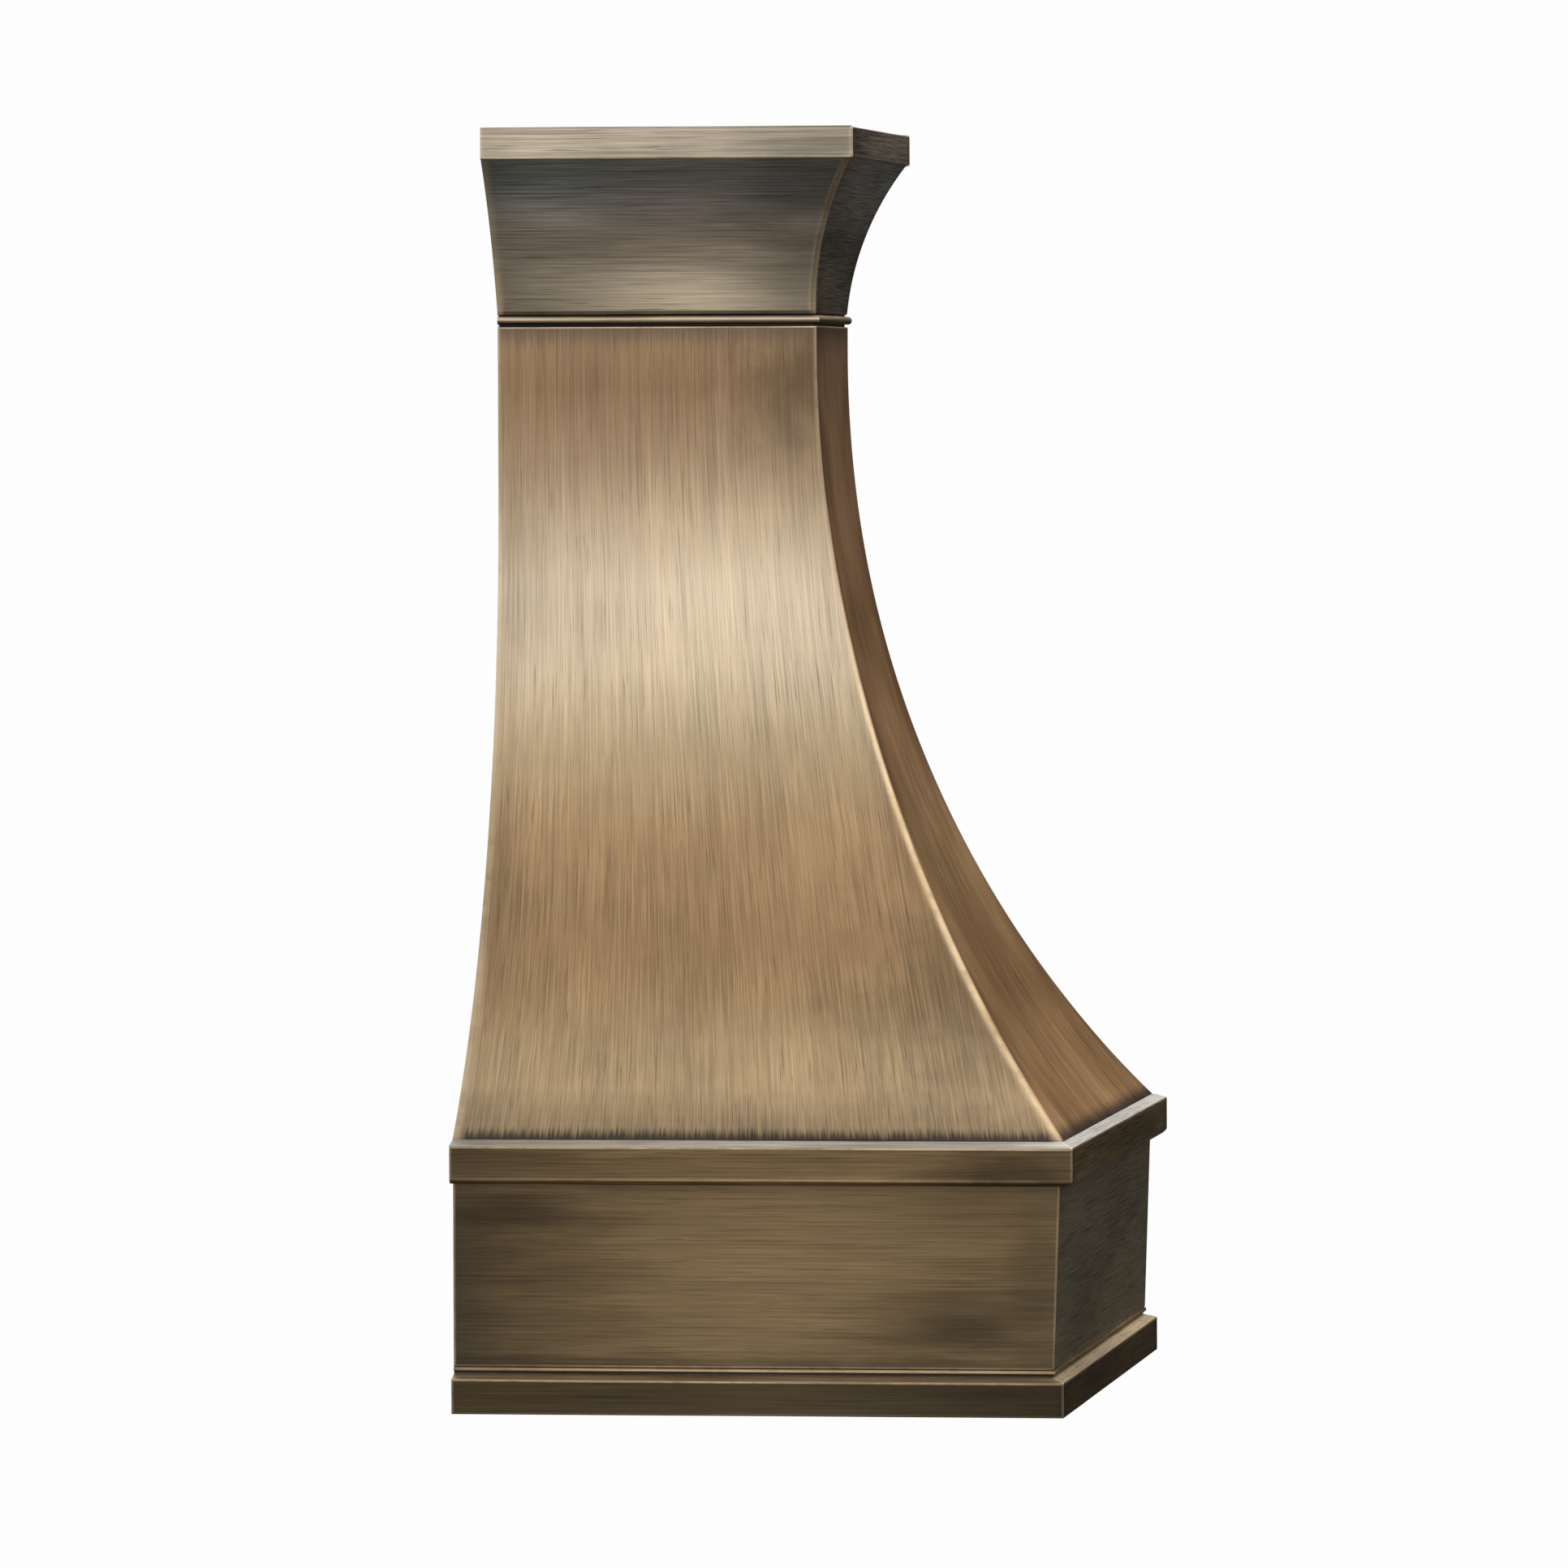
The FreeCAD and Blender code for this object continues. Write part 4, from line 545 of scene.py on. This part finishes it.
def brass(name, upright, bands, ends, fringe=0.0, highlight_cap=None, ridge=(0.5, 0.5), polish_and_highlight=0.6, coarse=0.06,
          patches=(), graze=(0.60, 0.48, 0.35)):
    """Brushed antique brass under lacquer.

    upright picks the brushing direction and bands gives the colour by height, patina with painted highlight
    and shade in it. ends is how far the painted shade darkens at the wall and at the corners, and how wide
    that is. fringe is the width of the dark patina left along the head and foot, and the cap gives the width
    and colour of a pale strip at the head, a painted highlight. ridge is how bright the corner is made,
    rubbed wear with a painted highlight, at the foot and at mid height; the edge polish says how bright all
    the edges are. coarse is the strength of the widest strokes. patches are soft ovals on the sides, of
    painted highlight and shade and of thinner or heavier patina, each (depth, level, half length, half
    height, how much lighter). graze is the edge tint.
    """
    n = material_nodes(name)
    brush = Brushing(n, upright)
    tone = n.grey(brush.tone(coarse, patches))
    low, high = bands[0][0], bands[-1][0]
    level = n.span(brush.height, low, high, smooth=False)
    colour = n.ramp(level, [((z - low) / (high - low), tint) for z, tint in bands])
    # a pale strip at the head: a painted highlight on an upward facing top
    if highlight_cap:
        width, pale = highlight_cap
        strip = n.span(n.field("head"), width - 0.0005, width + 0.0005, 1.0, 0.0)
        colour = n.mix(strip, colour, pale)
    colour = n.mix(1.0, colour, tone, "MULTIPLY")
    edge_on = n.mix(1.0, graze, tone, "MULTIPLY")
    # painted shade toward the wall and the corners
    painted_shade = brush.painted_shade(*ends)
    colour = n.mix(painted_shade, colour, PAINTED_SHADE)
    edge_on = n.mix(painted_shade, edge_on, PAINTED_SHADE_EDGE)
    if highlight_cap:
        edge_on = n.mix(strip, edge_on, HIGHLIGHT_CAP_EDGE)
    colour = n.mix(brush.hairlines(), colour, HAIRLINE)
    if fringe:
        dark = brush.fringe(fringe)
        colour = n.mix(dark, colour, FRINGED)
        edge_on = n.mix(dark, edge_on, FRINGED_EDGE)
    # rubbed wear with a painted highlight along the corners and folds
    rubbed_and_highlight = brush.rubbed_and_highlight(ridge, polish_and_highlight)
    colour = n.mix(rubbed_and_highlight, colour, RUBBED_AND_HIGHLIGHT)
    edge_on = n.mix(rubbed_and_highlight, edge_on, RUBBED_AND_HIGHLIGHT_EDGE)
    # painted shade in the gaps and grooves
    colour = n.mix(n.field("gap_shade"), colour, GAP_SHADE)
    roughness = n.maths("ADD", n.span(brush.streak, 0.3, 0.7, 0.37, 0.48),
                        n.span(brush.cloud, 0.35, 0.65, -0.03, 0.05))
    roughness = n.maths("SUBTRACT", roughness, n.maths("MULTIPLY", rubbed_and_highlight, 0.10))
    relief = n.maths("ADD", brush.streak, n.maths("MULTIPLY", brush.band, 0.5))
    bump = n.add("ShaderNodeBump", {"Strength": 0.15, "Distance": 0.0004, "Height": relief}).outputs[0]
    tangent = n.add("ShaderNodeTangent", direction_type="UV_MAP", uv_map="brush").outputs[0]
    shader = n.add("ShaderNodeBsdfPrincipled",
                   {"Base Color": colour, "Metallic": 1.0, "Roughness": roughness, "Normal": bump,
                    "Specular Tint": edge_on,
                    "Anisotropic": 0.5, "Anisotropic Rotation": 0.0 if upright else 0.25,
                    "Tangent": tangent, "Coat Weight": 0.15, "Coat Roughness": 0.3}).outputs[0]
    return n.surface(shader)


def sheet_metal(name, colour, dull, grain=(260, 4, 260), rough=0.4, spangle=0.0):
    """Plain steel or aluminium: grain along one axis, smudges, faint spangle."""
    n = material_nodes(name)
    place = n.add("ShaderNodeTexCoord").outputs["Object"]
    lines = n.noise(n.scaled(place, grain), detail=2.0, rough=0.6)
    smudge = n.noise(place, 11.0, 4.0, 0.6)
    tint = n.mix(n.span(smudge, 0.35, 0.65), colour, dull)
    tint = n.mix(n.span(lines, 0.35, 0.7, 0.0, 0.35), tint, [c * 0.6 for c in colour])
    if spangle:
        cells = n.add("ShaderNodeTexVoronoi", {"Vector": place, "Scale": 90.0}).outputs["Color"]
        value = n.add("ShaderNodeSeparateColor", {0: cells}).outputs[0]
        tint = n.mix(n.span(value, 0.2, 0.9, 0.0, spangle), tint, [min(1, c * 1.35) for c in colour])
    roughness = n.maths("ADD", n.span(lines, 0.3, 0.7, rough - 0.06, rough + 0.08),
                        n.span(smudge, 0.3, 0.7, -0.04, 0.06))
    bump = n.add("ShaderNodeBump", {"Strength": 0.12, "Distance": 0.0003, "Height": lines}).outputs[0]
    return n.surface(n.add("ShaderNodeBsdfPrincipled", {"Base Color": tint, "Metallic": 1.0,
                                                       "Roughness": roughness, "Normal": bump}).outputs[0])


def moulded(name, colour, rough=0.45, metallic=0.0):
    """Moulded plastic or paint with a fine texture."""
    n = material_nodes(name)
    place = n.add("ShaderNodeTexCoord").outputs["Object"]
    pebble = n.noise(place, 1400.0, 2.0)
    dust = n.noise(place, 30.0, 4.0)
    tint = n.mix(n.span(dust, 0.4, 0.75, 0.0, 0.35), colour, [min(1, c * 1.8 + 0.02) for c in colour])
    bump = n.add("ShaderNodeBump", {"Strength": 0.2, "Distance": 0.0002, "Height": pebble}).outputs[0]
    roughness = n.span(dust, 0.3, 0.7, rough - 0.05, rough + 0.1)
    return n.surface(n.add("ShaderNodeBsdfPrincipled", {"Base Color": tint, "Metallic": metallic,
                                                       "Roughness": roughness, "Normal": bump}).outputs[0])


def frosted(name):
    n = material_nodes(name)
    place = n.add("ShaderNodeTexCoord").outputs["Object"]
    grain = n.noise(place, 900.0, 2.0)
    bump = n.add("ShaderNodeBump", {"Strength": 0.3, "Distance": 0.0003, "Height": grain}).outputs[0]
    tint = n.mix(n.span(grain, 0.3, 0.7), (0.86, 0.86, 0.82), (0.93, 0.93, 0.9))
    return n.surface(n.add("ShaderNodeBsdfPrincipled",
                          {"Base Color": tint, "Roughness": 0.35, "Transmission Weight": 0.45,
                           "IOR": 1.45, "Normal": bump}).outputs[0])


# ---------------------------------------------------------------- pieces

# tones by height, as (level, colour): patina with painted light in it; on the body's sides the pale band from
# 0.64 to 0.88 is a painted highlight, and on both faces of the body the steps follow how brightly each height
# is lit
SIDE_TONES = [(FOOT_LEVEL, (0.375, 0.278, 0.170)), (0.316, (0.53, 0.385, 0.226)),
              (0.35, (0.480, 0.343, 0.198)), (0.403, (0.402, 0.269, 0.142)), (0.45, (0.368, 0.238, 0.125)),
              (0.506, (0.384, 0.253, 0.135)), (0.56, (0.398, 0.267, 0.146)), (0.64, (0.455, 0.345, 0.213)),
              (0.72, (0.564, 0.456, 0.320)), (0.80, (0.528, 0.432, 0.312)), (0.88, (0.43, 0.325, 0.215)),
              (0.93, (0.33, 0.23, 0.141)), (1.00, (0.245, 0.157, 0.086)), (BODY_TOP, (0.29, 0.188, 0.108))]
FRONT_TONES = [(FOOT_LEVEL, (0.36, 0.245, 0.14)), (0.40, (0.25, 0.165, 0.090)), (0.52, (0.36, 0.245, 0.137)),
               (0.70, (0.35, 0.215, 0.12)), (0.95, (0.31, 0.195, 0.115)), (BODY_TOP, (0.24, 0.165, 0.105))]
# the crown's tones, front and side, are patina with painted light: shade in a dark line at the cove foot and
# in the dark grey band where the cove's top faces down, and a lighter band low on the cove
CROWN_TONES = [(COVE_FOOT, (0.03, 0.025, 0.018)), (COVE_FOOT + 0.0022, (0.05, 0.04, 0.03)),
               (COVE_FOOT + 0.0030, (0.27, 0.232, 0.168)), (1.10, (0.31, 0.265, 0.20)),
               (1.15, (0.235, 0.20, 0.165)), (1.20, (0.134, 0.146, 0.148)),
               (FASCIA_FOOT - 0.001, (0.130, 0.148, 0.150)), (FASCIA_FOOT + 0.001, (0.41, 0.355, 0.270)),
               (CROWN_TOP, (0.52, 0.445, 0.345))]
CROWN_FRONT_TONES = [(COVE_FOOT, (0.13, 0.115, 0.095)), (1.10, (0.17, 0.155, 0.13)),
                     (1.20, (0.24, 0.245, 0.235)), (FASCIA_FOOT - 0.001, (0.22, 0.225, 0.225)),
                     (FASCIA_FOOT + 0.001, (0.25, 0.215, 0.18)), (CROWN_TOP, (0.32, 0.275, 0.23))]
# the neck bead's tones are painted light: shade in the grooves above and below it and a highlight on its
# upper roll
BEAD_TONES = [(NECK_WEB[0], (0.04, 0.032, 0.023)), (1.0624, (0.035, 0.028, 0.020)),
              (1.0646, (0.07, 0.055, 0.038)), (1.0660, (0.20, 0.16, 0.11)), (1.0674, (0.56, 0.47, 0.35)),
              (1.0696, (0.86, 0.77, 0.62)), (NECK_ROLL[1], (0.30, 0.25, 0.18)),
              (NECK_ROLL[1] + 0.0003, (0.04, 0.032, 0.023)), (NECK_WEB[1], (0.04, 0.032, 0.023))]


def plain(colour):
    """One tone at every height."""
    return [(0.0, colour), (1.3, colour)]


# soft ovals (depth, level, half length, half height, how much lighter): painted highlight and shade where the
# light falls unevenly, and thinner or heavier patina; the crown's first one is a painted highlight low in the
# cove
SIDE_PATCHES = [(0.32, 1.01, 0.11, 0.10, -0.45), (0.20, 0.86, 0.15, 0.12, 0.10),
                (0.24, 0.76, 0.16, 0.10, 0.10), (0.50, 0.40, 0.15, 0.16, -0.24),
                (0.0, 1.00, 0.06, 0.10, 0.12)]
CROWN_PATCHES = [(0.19, 1.088, 0.13, 0.035, 0.55), (0.0, 1.10, 0.12, 0.07, -0.30),
                 (0.31, 1.10, 0.09, 0.08, -0.50), (0.33, 1.20, 0.11, 0.08, -0.45),
                 (0.02, 1.20, 0.12, 0.06, 0.75)]
SKIRT_PATCHES = [(0.0, 0.15, 0.20, 0.12, -0.50), (0.50, 0.085, 0.14, 0.045, -0.60),
                 (0.06, 0.20, 0.08, 0.025, -0.4), (0.30, 0.045, 0.60, 0.016, -0.50),
                 (0.30, 0.16, 0.22, 0.05, 0.12), (0.57, 0.14, 0.03, 0.10, -0.25),
                 (0.16, 0.07, 0.16, 0.04, 0.10), (0.36, 0.06, 0.10, 0.03, -0.15),
                 (0.52, 0.20, 0.09, 0.03, -0.2)]
TRIM_PATCHES = [(0.0, 0.02, 0.22, 0.10, 0.5), (0.58, 0.02, 0.20, 0.10, -0.35)]
LEDGE_PATCHES = [(0.0, 0.245, 0.16, 0.10, -0.30), (0.55, 0.235, 0.12, 0.04, -0.60),
                 (0.30, 0.25, 0.10, 0.04, -0.1)]
LEDGE_HIGHLIGHT_CAP = (0.0590, (0.99, 0.95, 0.88))    # reaches from the ledge's head to its outer fold; its pale colour is a painted highlight on the ledge's top
# the trim's sloping top, lighter as a painted highlight
TRIM_HIGHLIGHT_CAP = (0.0290, (0.62, 0.47, 0.28))

# each face has its own copy of its brass, with base colour and edge tint set for how that face is lit, and
# the skirt and trim are darker than the body: patina with painted shade
SIDE_BRASS = brass("brass_body_side", True, SIDE_TONES, (0.1, 0.15, 0.05), 0.014, ridge=(1.0, 0.45),
                   polish_and_highlight=0.82, patches=SIDE_PATCHES)
FRONT_BRASS = brass("brass_body_front", True, FRONT_TONES, (0.0, 0.2, 0.05), 0.018, ridge=(1.0, 0.45),
                    polish_and_highlight=0.82, coarse=0.13, graze=(0.55, 0.295, 0.138))
CROWN_BRASS = brass("brass_crown", False, CROWN_TONES, (0.1, 0.2, 0.06), ridge=(0.9, 0.9), polish_and_highlight=0.5,
                    patches=CROWN_PATCHES)
CROWN_FRONT = brass("brass_crown_front", False, CROWN_FRONT_TONES, (0.0, 0.2, 0.06), ridge=(0.9, 0.9),
                    polish_and_highlight=0.5, graze=(0.61, 0.53, 0.43))
LEDGE_BRASS = brass("brass_ledge", False, plain((0.121, 0.080, 0.039)), (0.2, 0.2, 0.06), highlight_cap=LEDGE_HIGHLIGHT_CAP,
                    patches=LEDGE_PATCHES)
LEDGE_FRONT = brass("brass_ledge_front", False, plain((0.125, 0.084, 0.042)), (0.2, 0.2, 0.08),
                    highlight_cap=LEDGE_HIGHLIGHT_CAP, graze=(0.69, 0.58, 0.44))
SKIRT_BRASS = brass("brass_skirt", False, plain((0.108, 0.074, 0.037)), (0.5, 0.3, 0.06),
                    patches=SKIRT_PATCHES)
SKIRT_FRONT = brass("brass_skirt_front", False, plain((0.125, 0.088, 0.046)), (0.2, 0.0, 0.10),
                    graze=(1.0, 0.93, 0.75))
TRIM_BRASS = brass("brass_trim", False, plain((0.034, 0.0235, 0.0105)), (0.0, 0.1, 0.05), highlight_cap=TRIM_HIGHLIGHT_CAP,
                   polish_and_highlight=0.45, patches=TRIM_PATCHES)
TRIM_FRONT = brass("brass_trim_front", False, plain((0.055, 0.042, 0.021)), (0.2, 0.2, 0.08), highlight_cap=TRIM_HIGHLIGHT_CAP)
BEAD_BRASS = brass("brass_bead", False, BEAD_TONES, (0.2, 0.0, 0.05))
DULL_BEAD = brass("brass_bead_dull", False, plain((0.17, 0.115, 0.06)), (0.2, 0.0, 0.05), polish_and_highlight=0.45)

layer("crown", crown_path(), crown_seam, 0.0004, CROWN_FRONT, CROWN_BRASS)
layer("body", body_path(), body_seam, 0.0008, FRONT_BRASS, SIDE_BRASS)
layer("ledge", ledge_path(), plain_seam, 0.0002, LEDGE_FRONT, LEDGE_BRASS)
layer("skirt", skirt_path(), plain_seam, 0.0005, SKIRT_FRONT, SKIRT_BRASS)
layer("trim", trim_path(), plain_seam, 0.0002, TRIM_FRONT, TRIM_BRASS, spacing=0.010)
bead("shell_neck_bead", *NECK, half_round(NECK_ROLL, NECK_WEB, 0.0036, 0.0030), "neck_bead", BEAD_BRASS)
bead("shell_base_bead", *SKIRT_FOOT, half_round(BASE_ROLL, BASE_WEB, 0.0011, 0.0015), "base_bead", DULL_BEAD)

GALVANISED = sheet_metal("galvanised", (0.50, 0.51, 0.52), (0.38, 0.39, 0.40), rough=0.42, spangle=0.35)
STAINLESS = sheet_metal("stainless", (0.62, 0.61, 0.60), (0.50, 0.49, 0.48), grain=(4, 700, 700),
                        rough=0.30)
BRIGHT = sheet_metal("bright_steel", (0.72, 0.72, 0.72), (0.6, 0.6, 0.6), rough=0.2)
ALUMINIUM = sheet_metal("mill_aluminium", (0.76, 0.77, 0.78), (0.66, 0.67, 0.68), grain=(6, 400, 400),
                        rough=0.3)
PLASTIC = moulded("black_plastic", (0.03, 0.03, 0.032))
PAINT = moulded("motor_paint", (0.06, 0.06, 0.065), 0.35, 0.3)
LENS = frosted("lamp_lens")
FINISH = {"galvanised_steel": GALVANISED, "stainless": STAINLESS, "bright_steel": BRIGHT,
          "flap_aluminium": ALUMINIUM, "black_plastic": PLASTIC, "motor_paint": PAINT, "lens_glass": LENS}
for sub in frame["record"]["subparts"]:
    node = NODES[sub["node"]]
    if not node.hide_render:
        node.data.materials.clear()
        node.data.materials.append(FINISH[sub["material_slot"]])


# ---------------------------------------------------------------- studio

PALE = (0.985, 0.985, 0.985)
FLOOR_LEVEL, FLOOR_REACH = -0.75, 60.0
# what the metal reflects, by the sine of the direction's elevation
ROOM = [(-1.00, (0.040, 0.050, 0.056)), (-0.94, (0.09, 0.10, 0.10)), (-0.77, (0.60, 0.58, 0.52)),
        (-0.50, (0.80, 0.78, 0.74)), (0.00, (0.80, 0.79, 0.77)), (0.20, (1.10, 1.08, 1.05)),
        (0.47, (1.10, 1.08, 1.05)), (0.77, (0.55, 0.54, 0.53)), (0.94, (0.60, 0.60, 0.60)),
        (1.00, (0.80, 0.80, 0.80))]


def studio_world():
    """A pale room for the camera; the metal reflects a room graded by height and dark behind the hood."""
    world = bpy.data.worlds.new("room")
    bpy.context.scene.world = world
    n = Nodes(world)
    where = n.add("ShaderNodeTexCoord").outputs["Generated"]
    split = n.add("ShaderNodeSeparateXYZ", {0: where})
    x, y, z = split.outputs
    brightest = 1.2
    glow = n.ramp(n.span(z, -1.0, 1.0, smooth=False),
                  [((level + 1) / 2, [c / brightest for c in colour]) for level, colour in ROOM])
    behind = n.maths("MULTIPLY", n.span(x, -0.35, 0.75), n.span(z, 0.12, 0.45, 1.0, 0.1))
    dim = n.maths("SUBTRACT", 1.0, n.maths("MULTIPLY", behind, 0.90))
    above = n.maths("MULTIPLY", n.span(y, -0.30, 0.0, 1.0, 0.0), n.span(z, 0.45, 0.65))
    side = n.maths("MULTIPLY", dim, n.maths("ADD", 1.0, n.maths("MULTIPLY", above, 1.9)))
    strength = n.maths("MULTIPLY", side, brightest)
    room = n.add("ShaderNodeBackground", {"Color": glow, "Strength": strength}).outputs[0]
    pale = n.add("ShaderNodeBackground", {"Color": (*PALE, 1)}).outputs[0]
    seen = n.add("ShaderNodeLightPath").outputs["Is Camera Ray"]
    both = n.add("ShaderNodeMixShader", {0: seen, 1: room, 2: pale}).outputs[0]
    n.add("ShaderNodeOutputWorld", {"Surface": both})


def studio_floor():
    """A pale floor well under the hood that fades into the room with distance."""
    n = material_nodes("pale_floor")
    place = n.add("ShaderNodeNewGeometry").outputs["Position"]
    grain = n.noise(place, 25.0, 4.0)
    near = n.mix(n.span(grain, 0.3, 0.7), (0.80, 0.80, 0.79), (0.84, 0.84, 0.83))
    matt = n.add("ShaderNodeBsdfDiffuse", {"Color": near}).outputs[0]
    glow = n.add("ShaderNodeEmission", {"Color": (*PALE, 1), "Strength": 1.0}).outputs[0]
    reach = n.add("ShaderNodeVectorMath", {0: place}, operation="LENGTH").outputs["Value"]
    lit = n.add("ShaderNodeMixShader", {0: n.span(reach, 0.6, 4.0, 0.55, 1.0), 1: matt, 2: glow}).outputs[0]
    under = n.add("ShaderNodeNewGeometry").outputs["Backfacing"]
    clear = n.add("ShaderNodeBsdfTransparent").outputs[0]
    lit = n.add("ShaderNodeMixShader", {0: under, 1: lit, 2: clear}).outputs[0]
    mesh = bpy.data.meshes.new("floor")
    corners = [(x * FLOOR_REACH, y * FLOOR_REACH, FLOOR_LEVEL)
               for x, y in ((-1, -1), (1, -1), (1, 1), (-1, 1))]
    mesh.from_pydata(corners, [], [(0, 1, 2, 3)])
    floor = bpy.data.objects.new("floor", mesh)
    floor.visible_glossy = False
    mesh.materials.append(n.surface(lit))
    bpy.context.scene.collection.objects.link(floor)


def soft_light(name, spot, aim, size, power):
    lamp = bpy.data.lights.new(name, "AREA")
    lamp.shape = "RECTANGLE"
    lamp.size, lamp.size_y = size
    lamp.energy = power
    light = bpy.data.objects.new(name, lamp)
    light.location = spot
    light.rotation_euler = (Vector(aim) - Vector(spot)).to_track_quat("-Z", "Y").to_euler()
    light.visible_camera = False
    bpy.context.scene.collection.objects.link(light)


def camera(spot, aim, lens, roll):
    """Long lens from the hood's left, a little forward of square and a little above."""
    data = bpy.data.cameras.new("camera")
    data.sensor_width = 36.0
    data.lens = lens
    data.clip_end = 100.0
    cam = bpy.data.objects.new("camera", data)
    turn = (Vector(aim) - Vector(spot)).to_track_quat("-Z", "Y").to_matrix().to_4x4()
    cam.matrix_world = Matrix.Translation(spot) @ turn @ Matrix.Rotation(math.radians(roll), 4, "Z")
    bpy.context.scene.collection.objects.link(cam)
    bpy.context.scene.camera = cam


studio_world()
studio_floor()
soft_light("key", (-3.2, -0.55, 1.25), (-0.15, -0.25, 0.80), (0.9, 0.5), 6)
soft_light("low", (-1.35, -0.22, -0.30), (-0.14, -0.22, 1.09), (0.3, 0.4), 2.5)
soft_light("front", (0.6, -3.6, 1.9), (0, -0.4, 0.7), (1.6, 1.2), 8)
camera((-12.5315, -1.9151, 0.9778), (0, -0.2699, 0.6007), 288.82, -0.1955)
bpy.context.scene.view_settings.view_transform = "Standard"
